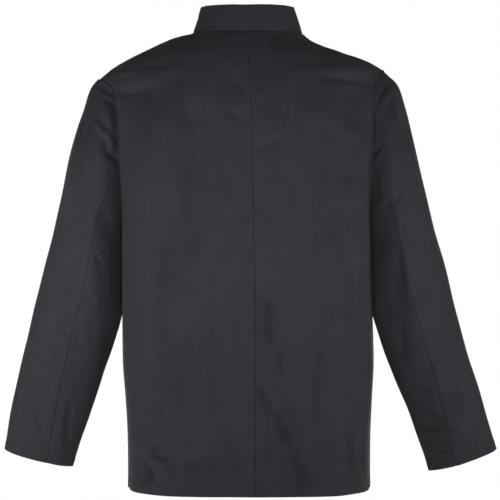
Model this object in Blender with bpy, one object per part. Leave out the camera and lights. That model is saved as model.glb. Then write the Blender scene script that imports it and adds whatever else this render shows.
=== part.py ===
"""Chef jacket in worn form: a hollow double-breasted jacket, open at the neck, hem and cuffs.

Metres, +Z up. The wearer would face -Y, so the wearer's left is at +X. The origin is in the middle of
the neck opening, level with the points where the shoulder seams meet the collar.
Each piece of cloth is a grid of points worked out from the tables below, with a wall on its inner side.
"""

from collections import namedtuple
from math import pi

import bpy
import numpy as np
from mathutils import Vector

WALL = 0.0015  # thickness of the cloth wall
SEAM_GAP = 0.0003  # clear space between two pieces at a seam
OVERLAP_GAP = 0.0006  # clear space between the two fronts where they overlap

SIDE_STEPS = 11  # grid steps up the side seam, hem to underarm
ARM_STEPS = 12  # up each half of an armhole, underarm to shoulder tip
SHOULDER_STEPS = 6  # along the shoulder seam, tip to neck
BACK_STEPS = 10  # across a back, centre to side
OPEN_STEPS = 7  # across a front, from where the other front ends to the side
EXTENSION_STEPS = 3  # across the part of a front that passes the centre
SLEEVE_STEPS = 16  # down a sleeve
COLLAR_STEPS = 3  # up the collar

NECK_X = {"left": 0.0912, "right": -0.0890}  # where the shoulder seams meet the collar
NECK_Y = -0.008

# The centre lines, hem to neck: where the back seam runs and how far back and forward the cloth stands.
Centre = namedtuple("Centre", "z seam_x back_y front_y")
CENTRE = [
    Centre(-0.747, -0.0115, 0.146, -0.146),
    Centre(-0.600, -0.0115, 0.142, -0.144),
    Centre(-0.420, -0.0113, 0.141, -0.143),
    Centre(-0.300, -0.0085, 0.144, -0.138),
    Centre(-0.200, -0.0062, 0.144, -0.124),
    Centre(-0.120, -0.0052, 0.135, -0.100),
    Centre(-0.072, -0.0022, 0.121, -0.078),
    Centre(-0.035, -0.0004, 0.103, -0.078),
    Centre(-0.002, 0.0013, 0.080, -0.078),
]

# The side seams, hem to underarm.
Side = namedtuple("Side", "z left_x right_x")
SIDE = [
    Side(-0.747, 0.1975, -0.2000),
    Side(-0.660, 0.1982, -0.2005),
    Side(-0.600, 0.2010, -0.2030),
    Side(-0.540, 0.2053, -0.2060),
    Side(-0.470, 0.2066, -0.2038),
    Side(-0.380, 0.2070, -0.2010),
    Side(-0.290, 0.2070, -0.1985),
]

# The shoulder seams, neck to tip.
Shoulder = namedtuple("Shoulder", "from_neck left_z right_z")
SHOULDER = [
    Shoulder(0.00, 0.0000, 0.0000),
    Shoulder(0.10, -0.0034, -0.0105),
    Shoulder(0.25, -0.0100, -0.0198),
    Shoulder(0.50, -0.0274, -0.0322),
    Shoulder(0.70, -0.0429, -0.0419),
    Shoulder(0.88, -0.0598, -0.0524),
    Shoulder(1.00, -0.0755, -0.0625),
]

# Each armhole is an upright oval. Behind it stands at back_x and in front at front_x, and it flares out
# to the shoulder tip over the last of its height, more suddenly behind.
Armhole = namedtuple("Armhole", "under_x under_z back_x front_x tip_x tip_y tip_z back_reach front_reach")
ARMHOLE = {
    "left": Armhole(0.2070, -0.300, 0.2100, 0.2000, 0.2441, 0.004, -0.0755, 0.068, 0.070),
    "right": Armhole(-0.1985, -0.295, -0.2015, -0.1920, -0.2240, 0.004, -0.0625, 0.068, 0.070),
}
BACK_FLARE, FRONT_FLARE = 15, 4
BEYOND_ARMHOLE = 0.006  # how far the body's own form, carried on round inside the sleeve, stands outside it

# The rows of a back or a front. up is 0 at the hem, 1 at the underarm, 2 at the shoulder tip, 3 at the
# neck; back_z and front_z are where the row starts on the centre line. A row leaves the centre square to
# it for a share start of its width, and comes to its end along (out, turn, rise) for a share end of its
# depth. past is how far a front goes on beyond the centre, over or under the other front.
Row = namedtuple("Row", "up back_z front_z start end out turn back_rise front_rise past")
ROWS = [
    Row(0.00, -0.747, -0.747, 0.80, 0.80, 0.00, 1.00, 0.00, 0.00, 0.085),
    Row(0.50, -0.520, -0.520, 0.80, 0.82, 0.00, 1.00, 0.00, 0.00, 0.085),
    Row(1.00, -0.290, -0.305, 0.83, 0.90, 0.00, 1.00, 0.00, 0.00, 0.087),
    Row(1.25, -0.235, -0.260, 0.82, 0.86, 0.03, 1.00, 0.00, 0.00, 0.088),
    Row(1.50, -0.170, -0.212, 0.78, 0.78, 0.10, 1.00, 0.00, 0.00, 0.088),
    Row(1.75, -0.105, -0.168, 0.64, 0.62, 0.40, 0.88, -0.12, -0.06, 0.086),
    Row(2.00, -0.066, -0.134, 0.52, 0.50, 0.65, 0.72, -0.34, -0.22, 0.082),
    Row(2.50, -0.031, -0.100, 0.53, 0.50, 0.35, 0.92, -0.05, 0.20, 0.074),
    Row(3.00, -0.002, -0.072, 0.56, 0.55, 0.00, 0.97, -0.03, 0.40, 0.066),
]
LIFT_FADE = 0.022  # width beyond the overlap over which the over front comes down to lie level
TOP_EDGE = 0.6  # share of its last grid step at which the over front's loose top edge stops, under the collar

# The rings of each sleeve, armhole to cuff: its outer and inner point, how far back its middle is, half
# its depth, how many degrees it tips forward, and how many degrees round from the outer point the elbow
# seam lies behind and the fore seam in front.
Ring = namedtuple("Ring", "number out_x out_z in_x in_z y half_depth tip elbow fore")
SLEEVE = {
    "left": [
        Ring(0, 0.2441, -0.0755, 0.2070, -0.3000, 0.000, 0.069, 0.0, 105, 135),
        Ring(1, 0.2590, -0.0915, 0.2075, -0.3120, 0.000, 0.078, 0.0, 107, 134),
        Ring(2, 0.2725, -0.1280, 0.2078, -0.3330, 0.002, 0.083, 0.0, 108, 132),
        Ring(3, 0.2870, -0.1780, 0.2080, -0.3600, 0.004, 0.082, 1.0, 107, 130),
        Ring(4, 0.3012, -0.2400, 0.2080, -0.3920, 0.006, 0.077, 2.0, 103, 128),
        Ring(5, 0.3163, -0.3070, 0.2081, -0.4280, 0.008, 0.069, 2.0, 97, 126),
        Ring(6, 0.3320, -0.3750, 0.2082, -0.4640, 0.008, 0.060, 3.0, 94, 124),
        Ring(7, 0.3503, -0.4500, 0.2245, -0.5220, 0.005, 0.052, 4.0, 93, 122),
        Ring(8, 0.3705, -0.5350, 0.2525, -0.5970, 0.000, 0.044, 5.0, 100, 121),
        Ring(9, 0.3885, -0.6130, 0.2738, -0.6540, -0.008, 0.038, 6.0, 107, 120),
        Ring(10, 0.4030, -0.6840, 0.2926, -0.7136, -0.018, 0.034, 6.0, 113, 120),
    ],
    "right": [
        Ring(0, -0.2240, -0.0625, -0.1985, -0.2950, 0.000, 0.069, 0.0, 105, 135),
        Ring(1, -0.2470, -0.0835, -0.1995, -0.3080, 0.000, 0.078, 0.0, 107, 134),
        Ring(2, -0.2585, -0.1240, -0.2010, -0.3310, 0.002, 0.083, 0.0, 108, 132),
        Ring(3, -0.2695, -0.1760, -0.2025, -0.3580, 0.004, 0.082, 1.0, 107, 130),
        Ring(4, -0.2843, -0.2390, -0.2038, -0.3900, 0.006, 0.077, 2.0, 103, 128),
        Ring(5, -0.3022, -0.3070, -0.2048, -0.4260, 0.008, 0.069, 2.0, 97, 126),
        Ring(6, -0.3205, -0.3750, -0.2055, -0.4640, 0.008, 0.060, 3.0, 94, 124),
        Ring(7, -0.3395, -0.4500, -0.2250, -0.5230, 0.005, 0.052, 4.0, 93, 122),
        Ring(8, -0.3640, -0.5350, -0.2560, -0.5990, 0.000, 0.044, 5.0, 100, 121),
        Ring(9, -0.3880, -0.6130, -0.2758, -0.6560, -0.008, 0.038, 6.0, 107, 120),
        Ring(10, -0.4110, -0.6840, -0.3005, -0.7212, -0.018, 0.034, 6.0, 113, 120),
    ],
}
ARMHOLE_REACH = 0.35  # share of the sleeve over which the armhole's own bend fades out
ELBOW_STEP = 7  # ring steps from the shoulder tip back to the elbow seam, at the armhole
FORE_STEP = 9  # and forward to the fore seam

# The largest folds, each a soft ridge (depth out) or trough (depth in) from one place to another.
Fold = namedtuple("Fold", "x1 z1 x2 z2 width depth")
FOLDS = {
    "back": [
        Fold(0.086, -0.150, 0.098, -0.330, 0.024, -0.0060),
        Fold(0.128, -0.100, 0.130, -0.250, 0.022, 0.0040),
        Fold(-0.122, -0.170, -0.128, -0.320, 0.022, -0.0055),
        Fold(-0.165, -0.110, -0.160, -0.230, 0.020, -0.0050),
        Fold(0.128, -0.350, 0.120, -0.560, 0.026, -0.0050),
        Fold(-0.030, -0.430, -0.080, -0.720, 0.026, -0.0060),
        Fold(-0.172, -0.400, -0.176, -0.747, 0.024, -0.0055),
        Fold(0.150, -0.600, 0.172, -0.747, 0.028, -0.0075),
    ],
    "front": [
        Fold(0.150, -0.180, 0.110, -0.340, 0.024, -0.0060),
        Fold(-0.140, -0.170, -0.120, -0.330, 0.024, -0.0060),
        Fold(0.140, -0.430, 0.150, -0.747, 0.028, -0.0070),
        Fold(-0.150, -0.400, -0.138, -0.747, 0.028, -0.0070),
    ],
}
NO_FOLD_NEAR_SEAM = 0.12  # share of a row, next to an armhole or shoulder seam, where folds fade out

COLLAR_HEIGHT = 0.0435
COLLAR_LEAN = 0.155  # share by which its top edge is smaller than its lower edge
COLLAR_END_XS = [0.0025, 0.0045, 0.0095]  # half the space between its ends, then points round each corner
COLLAR_CORNER = 0.015  # radius of its two front corners

BUTTON_RADIUS = 0.0090
BUTTON_THICK = 0.0036
BUTTON_SIDES = 16
BUTTON_X = 0.0650
BUTTON_HEIGHTS = [-0.110, -0.206, -0.302, -0.398, -0.494]  # each pair, on the front's centre line
BUTTON_REACH = 0.01  # step, in rows and across, to the places that give the cloth's slope under a button
LINE_STEPS = 400  # steps up the front's centre line when a height is looked up
# Its section from the middle of the back round to the middle of the front, as shares of radius and height.
BUTTON_SECTION = [(0.86, 0.0), (1.0, 0.25), (1.0, 0.72), (0.88, 1.0), (0.66, 0.88)]

FOLDED_BACK = 0.2  # cosine between two pieces' normals below which their seam is a sharp fold
EASED_TO_EDGE = 4  # power of the distance across at which a row is drawn onto the armhole's edge
HALVINGS = 24  # steps when a place on a row is found by halving


def spline(rows, along, name, at):
    """Smooth curve through one column of a table: cubics whose slopes are those of the chords."""
    x = np.array([getattr(row, along) for row in rows], float)
    y = np.array([getattr(row, name) for row in rows], float)
    slope = np.gradient(y, x)
    at = np.clip(at, x[0], x[-1])
    i = np.clip(np.searchsorted(x, at, side="right") - 1, 0, len(x) - 2)
    width = x[i + 1] - x[i]
    t = (at - x[i]) / width
    near = (1 + 2 * t) * (1 - t) ** 2 * y[i] + t * (1 - t) ** 2 * width * slope[i]
    far = t * t * (3 - 2 * t) * y[i + 1] - t * t * (1 - t) * width * slope[i + 1]
    return near + far


def ease(t):
    """0 to 1 with level ends, for t from 0 to 1."""
    t = np.clip(t, 0, 1)
    return t * t * (3 - 2 * t)


def unit(v):
    return v / np.linalg.norm(v, axis=-1, keepdims=True)


def points_of(x, y, z):
    return np.stack(np.broadcast_arrays(x, y, z), axis=-1)


def outward(side):
    return 1 if side == "left" else -1


def armhole(side, face, turn):
    """An armhole: turn 0 at the underarm to 1 at the shoulder tip; face is 1 behind and -1 in front."""
    hole = ARMHOLE[side]
    up = (1 - np.cos(pi * turn)) / 2
    behind = face > 0
    far_x = np.where(behind, hole.back_x, hole.front_x)
    edge = hole.under_x + (far_x - hole.under_x) * ease(2 * up)
    x = edge + (hole.tip_x - far_x) * up ** np.where(behind, BACK_FLARE, FRONT_FLARE)
    y = hole.tip_y * up + face * np.where(behind, hole.back_reach, hole.front_reach) * np.sin(pi * turn)
    z = hole.under_z + (hole.tip_z - hole.under_z) * up
    return points_of(x, y, z)


def shoulder(side, along):
    """A shoulder seam: along 0 at the tip to 1 at the neck."""
    hole = ARMHOLE[side]
    x = NECK_X[side] + (hole.tip_x - NECK_X[side]) * (1 - along)
    y = NECK_Y + (hole.tip_y - NECK_Y) * (1 - along)
    return points_of(x, y, spline(SHOULDER, "from_neck", side + "_z", 1 - along))


def row_end(side, face, up):
    """Where each row of a back or a front ends, once it is carried round as far as the side of the body.

    That is the side seam, then a line from the underarm up inside the sleeve to the shoulder tip, then
    the shoulder seam, which the rows leave the tip along slowly, so that they fan out round it smoothly.
    """
    hem, under = SIDE[0].z, ARMHOLE[side].under_z
    z = hem + (under - hem) * np.clip(up, 0, 1)
    seam = points_of(spline(SIDE, "z", side + "_x", z), 0.0, z)
    rise = np.clip(up - 1, 0, 1)
    arm = armhole(side, face, rise)
    arm[..., 0] += outward(side) * BEYOND_ARMHOLE * np.sin(pi * rise)
    arm[..., 1] = ARMHOLE[side].tip_y * rise
    beyond_tip = np.clip(up - 2, 0, 1)
    top = shoulder(side, beyond_tip**2 * (2 - beyond_tip))
    up = up[..., None]
    return np.where(up <= 1, seam, np.where(up <= 2, arm, top))


def row_curve(side, face, up, across):
    """A cubic curve for each row, from the centre line to the row's end."""
    name = "back" if face > 0 else "front"
    z = spline(ROWS, "up", name + "_z", up)
    seam_x = spline(CENTRE, "z", "seam_x", z) * (face > 0)
    centre = points_of(seam_x, spline(CENTRE, "z", name + "_y", z), z)
    end = row_end(side, face, up)
    width = end[..., 0] - seam_x
    depth = np.linalg.norm(end[..., 1:] - centre[..., 1:], axis=-1)
    out, turn, rise = (spline(ROWS, "up", column, up) for column in ("out", "turn", name + "_rise"))
    arriving = unit(points_of(outward(side) * out, -face * turn, rise))
    first = centre + points_of(width * spline(ROWS, "up", "start", up), 0.0, 0.0)
    last = end - arriving * (depth * spline(ROWS, "up", "end", up))[..., None]
    t = across[..., None]
    return (1 - t) ** 3 * centre + 3 * t * (1 - t) ** 2 * first + 3 * t * t * (1 - t) * last + t**3 * end


def body(side, face, up, across):
    """One quarter of the body. A row that meets the armhole stops there, and is eased onto its edge.

    up and across are grids of one shape; across is 0 at the centre and 1 at the seam or the armhole.
    """
    hole = armhole(side, face, np.clip(up - 1, 0, 1))
    low, high = np.zeros_like(up), np.ones_like(up)
    for _ in range(HALVINGS):
        middle = (low + high) / 2
        before = face * (row_curve(side, face, up, middle)[..., 1] - hole[..., 1]) > 0
        low, high = np.where(before, middle, low), np.where(before, high, middle)
    stop = np.where((up > 1) & (up < 2), low, 1)
    miss = hole - row_curve(side, face, up, stop)
    miss = miss * ((up > 1) & (up < 2))[..., None]
    return row_curve(side, face, up, across * stop) + miss * (across**EASED_TO_EDGE)[..., None]


def front_columns(side, up):
    """Where a front's grid columns stand: even steps to where the other front ends, then on to the side."""
    past = across_at(side, up, spline(ROWS, "up", "past", up))[..., None]
    shared = past * np.arange(EXTENSION_STEPS) / EXTENSION_STEPS
    clear = past + (1 - past) * np.arange(OPEN_STEPS + 1) / OPEN_STEPS
    return np.concatenate([shared, clear], axis=-1)


def across_at(side, up, distance):
    """The share of the way across at which a front row stands this far from the centre, by halving."""
    low = np.zeros(np.broadcast(up, distance).shape)
    high = np.ones_like(low)
    up = up + np.zeros_like(low)
    for _ in range(HALVINGS):
        middle = (low + high) / 2
        short = np.abs(body(side, -1, up, middle)[..., 0]) < distance
        low, high = np.where(short, middle, low), np.where(short, high, middle)
    return low


def ring(side, along, angle):
    """The oval rings of a sleeve; along 0 at the armhole to 1 at the cuff, angle from the outer point."""
    table = SLEEVE[side]
    read = {name: spline(table, "number", name, along * table[-1].number) for name in Ring._fields}
    outer = points_of(read["out_x"], read["y"], read["out_z"])
    inner = points_of(read["in_x"], read["y"], read["in_z"])
    tip = np.radians(read["tip"])
    behind = points_of(0.0, np.cos(tip), -np.sin(tip)) * read["half_depth"][..., None]
    angle = angle[..., None]
    return (outer + inner) / 2 + (outer - inner) / 2 * np.cos(angle) + behind * np.sin(angle)


def sleeve(side, along, angle):
    """A sleeve: its rings, bent at the top to the armhole's own shape, and just outside and below it."""
    turned = (angle + pi) % (2 * pi) - pi
    hole = armhole(side, np.sign(turned), 1 - np.abs(turned) / pi)
    bend = hole - ring(side, np.zeros_like(along), turned)
    kept = 1 - ease(along / ARMHOLE_REACH)
    clear = points_of(outward(side) * SEAM_GAP, 0, -SEAM_GAP / 2)
    return ring(side, along, turned) + bend * kept[..., None] + clear


def normals(points):
    """Unit normal at each point of a grid, from the directions of its rows and columns."""
    return unit(np.cross(np.gradient(points, axis=0), np.gradient(points, axis=1)))


def agreed(first, second):
    """Two pieces' normals along a seam, turned to their mean unless the cloth folds back on itself there."""
    open_seam = (first * second).sum(axis=-1, keepdims=True) > FOLDED_BACK
    mean = unit(first + second)
    return np.where(open_seam, mean, first), np.where(open_seam, mean, second)


def folded(points, directions, face, keep):
    """The grid with its face's folds pushed in or out: each fades with the distance from its own line."""
    move = np.zeros(points.shape[:2])
    place = points[..., [0, 2]]
    for fold in FOLDS[face]:
        start = np.array([fold.x1, fold.z1])
        run = np.array([fold.x2, fold.z2]) - start
        share = np.clip(((place - start) @ run) / (run @ run), 0, 1)
        away = np.linalg.norm(place - start - share[..., None] * run, axis=-1)
        move += fold.depth * np.exp(-((away / fold.width) ** 2))
    return points + directions * (move * keep)[..., None]


def trimmed(points, edges):
    """The grid with the named edges drawn back along the cloth by half a seam gap."""
    made = points.copy()
    for edge in edges:
        view, old = (made, points) if "row" in edge else (made.swapaxes(0, 1), points.swapaxes(0, 1))
        outer, inner = (0, 1) if "first" in edge else (-1, -2)
        view[outer] += unit(old[inner] - old[outer]) * SEAM_GAP / 2
    return made


def rim(grid):
    """The numbers round a grid's edge, in order."""
    return np.concatenate([grid[0, :-1], grid[:-1, -1], grid[-1, :0:-1], grid[:0:-1, 0]])


def cloth(name, points, directions, edges):
    """One piece of cloth: its outer face is the grid, its inner face lies WALL behind it."""
    points = trimmed(points, edges)
    count = points.shape[0] * points.shape[1]
    outer = np.arange(count).reshape(points.shape[:2])
    inner = outer + count
    front = np.stack([outer[:-1, :-1], outer[1:, :-1], outer[1:, 1:], outer[:-1, 1:]], axis=-1)
    back = np.stack([inner[:-1, :-1], inner[:-1, 1:], inner[1:, 1:], inner[1:, :-1]], axis=-1)
    near, far = rim(outer), rim(inner)
    edge = np.stack([near, np.roll(near, -1), np.roll(far, -1), far], axis=-1)
    faces = np.concatenate([front.reshape(-1, 4), back.reshape(-1, 4), edge])
    mesh = bpy.data.meshes.new(name)
    wall = np.concatenate([points.reshape(-1, 3), (points - directions * WALL).reshape(-1, 3)])
    mesh.from_pydata(wall.tolist(), [], faces.tolist())
    mesh.materials.append(CLOTH)
    mesh.shade_smooth()
    mesh.set_sharp_from_angle(angle=pi / 4)
    piece = bpy.data.objects.new(name, mesh)
    bpy.context.scene.collection.objects.link(piece)
    return piece


def material_of(name, colour, roughness):
    made = bpy.data.materials.new(name)
    made.use_nodes = True
    shader = made.node_tree.nodes["Principled BSDF"]
    shader.inputs["Base Color"].default_value = (*colour, 1)
    shader.inputs["Roughness"].default_value = roughness
    shader.inputs["Metallic"].default_value = 0
    return made


for old in list(bpy.data.objects):
    bpy.data.objects.remove(old, do_unlink=True)

CLOTH = material_of("black_twill", (0.032, 0.031, 0.037), 0.85)
PLASTIC = material_of("black_plastic", (0.012, 0.012, 0.013), 0.35)

# Every row of the body, hem to neck, and where the armhole and shoulder rows begin.
UPS = np.concatenate(
    [
        np.arange(SIDE_STEPS) / SIDE_STEPS,
        1 + np.arange(ARM_STEPS) / ARM_STEPS,
        2 + np.arange(SHOULDER_STEPS + 1) / SHOULDER_STEPS,
    ]
)
UNDERARM, TIP = SIDE_STEPS, SIDE_STEPS + ARM_STEPS
SEAM_ROWS = np.r_[: UNDERARM + 1, TIP : len(UPS)]  # the rows that end on a side or shoulder seam
ARM_ROWS = np.arange(UNDERARM, TIP + 1)


def open_cloth(up, across):
    """1 on the open cloth, fading to 0 next to the armhole, the shoulder seam and the neckline."""
    side = np.where(up > 1, ease((1 - across) / NO_FOLD_NEAR_SEAM), 1)
    return side * ease((3 - up) / NO_FOLD_NEAR_SEAM)


# ---- the two backs, one grid from the right side to the left, cut at the centre seam
half = np.arange(BACK_STEPS + 1) / BACK_STEPS
up, across = np.meshgrid(UPS, np.concatenate([-half[::-1], half[1:]]), indexing="ij")
right, left = (body(side, 1, up, np.abs(across)) for side in ("right", "left"))
back = np.where((across < 0)[..., None], right, left)
back = folded(back, normals(back), "back", open_cloth(up, np.abs(across)))
back_facing = normals(back)

# ---- the two fronts, each from its own side to past the centre; the left one lies over the right
fronts, front_facing = {}, {}
for side, other in (("left", "right"), ("right", "left")):
    own = front_columns(side, UPS)[:, ::-1]
    past = front_columns(other, UPS)[:, 1 : EXTENSION_STEPS + 1]
    own_up, past_up = (UPS[:, None] + np.zeros_like(columns) for columns in (own, past))
    beyond = body(other, -1, past_up, past)
    if side == "left":
        beyond[-1] = beyond[-2] + (beyond[-1] - beyond[-2]) * TOP_EDGE
    grid = np.concatenate([body(side, -1, own_up, own), beyond], axis=1)
    keep = np.concatenate([open_cloth(own_up, own), open_cloth(past_up, past)], axis=1)
    facing = normals(grid) * outward(side)
    grid = folded(grid, facing, "front", keep)
    if side == "left":
        reach = spline(ROWS, "up", "past", UPS)[:, None] + LIFT_FADE
        lift = (WALL + OVERLAP_GAP) * ease((reach - grid[..., 0]) / LIFT_FADE)
        grid = grid + facing * lift[..., None]
    fronts[side], front_facing[side] = grid, normals(grid) * outward(side)
    edge = 0 if side == "right" else -1
    back_side = back_facing[SEAM_ROWS, edge]
    back_side, front_side = agreed(back_side, front_facing[side][SEAM_ROWS, 0])
    back_facing[SEAM_ROWS, edge], front_facing[side][SEAM_ROWS, 0] = back_side, front_side

# ---- the sleeves, each one grid of full rings, cut at the elbow seam and the fore seam
RING_STEPS = 2 * ARM_STEPS
UPPER_STEPS = ELBOW_STEP + FORE_STEP
UNDER_STEPS = RING_STEPS - UPPER_STEPS
along = np.arange(SLEEVE_STEPS + 1)[:, None] / SLEEVE_STEPS
for side in ("left", "right"):
    place = along * SLEEVE[side][-1].number
    elbow, fore = (np.radians(spline(SLEEVE[side], "number", name, place)) for name in ("elbow", "fore"))
    upper = -fore + (elbow + fore) * np.arange(UPPER_STEPS) / UPPER_STEPS
    under = elbow + (2 * pi - fore - elbow) * np.arange(UNDER_STEPS + 1) / UNDER_STEPS
    angle = np.concatenate([upper, under], axis=1)
    grid = sleeve(side, along + np.zeros_like(angle), angle)
    closed = np.concatenate([grid[:, -2:-1], grid, grid[:, 1:2]], axis=1)
    facing = normals(closed)[:, 1:-1] * outward(side)
    edge = 0 if side == "right" else -1
    for rows, column, piece in ((ARM_ROWS, edge, back_facing), (ARM_ROWS, 0, front_facing[side])):
        step = 1 if piece is back_facing else -1
        round_ring = (FORE_STEP + step * (TIP - rows)) % RING_STEPS
        piece[rows, column], facing[0, round_ring] = agreed(piece[rows, column], facing[0, round_ring])
    facing[0, -1] = facing[0, 0]
    turn = slice(None, None, outward(side))
    for name, columns in (("upper", slice(0, UPPER_STEPS + 1)), ("under", slice(UPPER_STEPS, None))):
        cloth(
            f"sleeve_{side}_{name}",
            grid[:, columns][:, turn],
            facing[:, columns][:, turn],
            ("first_column", "last_column"),
        )

seams = ("first_column", "last_column", "last_row")
cloth("back_right", back[:, : BACK_STEPS + 1], back_facing[:, : BACK_STEPS + 1], seams)
cloth("back_left", back[:, BACK_STEPS:], back_facing[:, BACK_STEPS:], seams)
cloth("front_left", fronts["left"], front_facing["left"], ("first_column", "last_row"))
cloth("front_right", fronts["right"][:, ::-1], front_facing["right"][:, ::-1], ("last_column", "last_row"))

# ---- the collar, from its right end round the back to its left end
NECK = UPS[-1]
turns = []
for side in ("right", "left"):
    across = front_columns(side, NECK)
    front = body(side, -1, np.full_like(across, NECK), across)
    to_next = np.array(COLLAR_END_XS)[:, None] / np.abs(front[1, 0])
    corner = front[0] + (front[1] - front[0]) * to_next
    behind = body(side, 1, np.full_like(half, NECK), half[::-1])
    turns.append(np.concatenate([corner, front[1:], behind[1:]]))
base = np.concatenate([turns[0], turns[1][-2::-1]])
from_end = np.where(base[:, 1] < NECK_Y, np.abs(base[:, 0]) - COLLAR_END_XS[0], COLLAR_CORNER)
into_corner = COLLAR_CORNER - np.clip(from_end, 0, COLLAR_CORNER)
height = COLLAR_HEIGHT - COLLAR_CORNER + np.sqrt(COLLAR_CORNER**2 - into_corner**2)
share = np.arange(COLLAR_STEPS + 1)[:, None] / COLLAR_STEPS * height / COLLAR_HEIGHT
shrink = 1 - COLLAR_LEAN * share
collar = points_of(base[:, 0] * shrink, base[:, 1] * shrink, base[:, 2] + COLLAR_HEIGHT * share)
cloth("collar", collar + np.array([0, 0, SEAM_GAP]), normals(collar), ())

# ---- the buttons: domed discs, one mesh, each set on the over front
ring_angle = 2 * pi * np.arange(BUTTON_SIDES) / BUTTON_SIDES
section = np.array(BUTTON_SECTION) * [BUTTON_RADIUS, BUTTON_THICK]
rings = points_of(
    section[:, :1] * np.cos(ring_angle), section[:, :1] * np.sin(ring_angle), section[:, 1:]
).reshape(-1, 3)
steps = np.arange(BUTTON_SIDES)
faces = [steps[::-1].tolist()]
for level in range(len(section) - 1):
    low = level * BUTTON_SIDES + steps
    low_next = level * BUTTON_SIDES + (steps + 1) % BUTTON_SIDES
    faces += np.stack([low, low_next, low_next + BUTTON_SIDES, low + BUTTON_SIDES], axis=-1).tolist()
faces.append(((len(section) - 1) * BUTTON_SIDES + steps).tolist())
button_mesh = bpy.data.meshes.new("button")
button_mesh.from_pydata(rings.tolist(), [], faces)
button_mesh.materials.append(PLASTIC)
button_mesh.shade_smooth()
button_mesh.set_sharp_from_angle(angle=pi / 4)

steps_up = NECK * np.arange(LINE_STEPS + 1) / LINE_STEPS
line_z = spline(ROWS, "up", "front_z", steps_up)
nearby = BUTTON_REACH * np.array([-1, 0, 1])
for side in ("left", "right"):
    for number, z in enumerate(BUTTON_HEIGHTS, start=1):
        up = np.interp(z, line_z, steps_up)
        across = across_at(side, np.array(up), BUTTON_X)
        ups, acrosses = np.meshgrid(up + nearby, across + nearby, indexing="ij")
        patch = body(side, -1, ups, acrosses)
        facing = normals(patch)[1, 1] * -outward(side)
        button = bpy.data.objects.new(f"button_{side}_{number}", button_mesh)
        button.location = patch[1, 1] + facing * (WALL + OVERLAP_GAP + SEAM_GAP)
        button.rotation_euler = Vector(facing).to_track_quat("Z", "Y").to_euler()
        bpy.context.scene.collection.objects.link(button)
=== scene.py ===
"""Black chef jacket: its cloth, seams, stitching and buttons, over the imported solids.

Metres, +Z up. The front faces -Y, so the wearer's left is at +X.
"""

from collections import namedtuple
from math import pi, radians

import bpy
import numpy as np
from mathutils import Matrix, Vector


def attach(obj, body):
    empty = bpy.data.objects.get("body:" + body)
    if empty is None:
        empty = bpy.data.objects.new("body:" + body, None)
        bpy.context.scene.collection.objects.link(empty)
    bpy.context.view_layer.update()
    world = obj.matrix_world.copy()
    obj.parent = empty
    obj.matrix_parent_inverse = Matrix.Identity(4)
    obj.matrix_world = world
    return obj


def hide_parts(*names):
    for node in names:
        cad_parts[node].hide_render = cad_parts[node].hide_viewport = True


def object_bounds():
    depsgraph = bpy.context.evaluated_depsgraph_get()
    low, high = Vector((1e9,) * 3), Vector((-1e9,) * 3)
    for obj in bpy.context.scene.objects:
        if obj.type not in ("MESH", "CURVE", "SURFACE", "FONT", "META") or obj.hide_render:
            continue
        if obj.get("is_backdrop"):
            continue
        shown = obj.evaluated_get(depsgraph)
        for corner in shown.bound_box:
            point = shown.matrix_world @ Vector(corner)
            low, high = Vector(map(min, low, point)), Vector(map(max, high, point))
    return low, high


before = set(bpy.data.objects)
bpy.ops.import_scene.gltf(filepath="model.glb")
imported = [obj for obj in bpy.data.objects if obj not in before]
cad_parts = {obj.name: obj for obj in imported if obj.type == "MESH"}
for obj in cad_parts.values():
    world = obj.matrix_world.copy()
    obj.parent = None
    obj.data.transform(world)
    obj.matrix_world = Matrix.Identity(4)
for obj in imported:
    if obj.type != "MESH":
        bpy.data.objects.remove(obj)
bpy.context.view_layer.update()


# ---- The back
# Two panels of black polyester and cotton twill, cut as a pair and joined down the middle by a plain
# seam that is pressed to one side. The lower edge is turned up and stitched.

def table(names, *rows):
    """Rows of values under the names of their columns."""
    return [namedtuple("Row", names)(*row) for row in rows]


# The centre lines, hem to neck: where the back seam runs, and how far back and forward the cloth stands.
CENTRE = table(
    "z seam_x back_y front_y",
    (-0.747, -0.0115, 0.146, -0.146),
    (-0.600, -0.0115, 0.142, -0.144),
    (-0.420, -0.0113, 0.141, -0.143),
    (-0.300, -0.0085, 0.144, -0.138),
    (-0.200, -0.0062, 0.144, -0.124),
    (-0.120, -0.0052, 0.135, -0.100),
    (-0.072, -0.0022, 0.121, -0.078),
    (-0.035, -0.0004, 0.103, -0.078),
    (-0.002, 0.0013, 0.080, -0.078),
)

# The side seams, hem to underarm.
SIDE = table(
    "z left_x right_x",
    (-0.747, 0.1975, -0.2000),
    (-0.660, 0.1982, -0.2005),
    (-0.600, 0.2010, -0.2030),
    (-0.540, 0.2053, -0.2060),
    (-0.470, 0.2066, -0.2038),
    (-0.380, 0.2070, -0.2010),
    (-0.290, 0.2070, -0.1985),
)

# The shoulder seams, neck to tip.
NECK_X = {"left": 0.0912, "right": -0.0890}
NECK_Y = -0.008
SHOULDER = table(
    "from_neck left_z right_z",
    (0.00, 0.0000, 0.0000),
    (0.10, -0.0034, -0.0105),
    (0.25, -0.0100, -0.0198),
    (0.50, -0.0274, -0.0322),
    (0.70, -0.0429, -0.0419),
    (0.88, -0.0598, -0.0524),
    (1.00, -0.0755, -0.0625),
)

# Each armhole is an upright oval that flares out to the shoulder tip, more suddenly behind.
Armhole = namedtuple("Armhole", "under_x under_z back_x front_x tip_x tip_y tip_z back_reach front_reach")
ARMHOLE = {
    "left": Armhole(0.2070, -0.300, 0.2100, 0.2000, 0.2441, 0.004, -0.0755, 0.068, 0.070),
    "right": Armhole(-0.1985, -0.295, -0.2015, -0.1920, -0.2240, 0.004, -0.0625, 0.068, 0.070),
}
BACK_FLARE, FRONT_FLARE = 15, 4
BEYOND_ARMHOLE = 0.006

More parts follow.
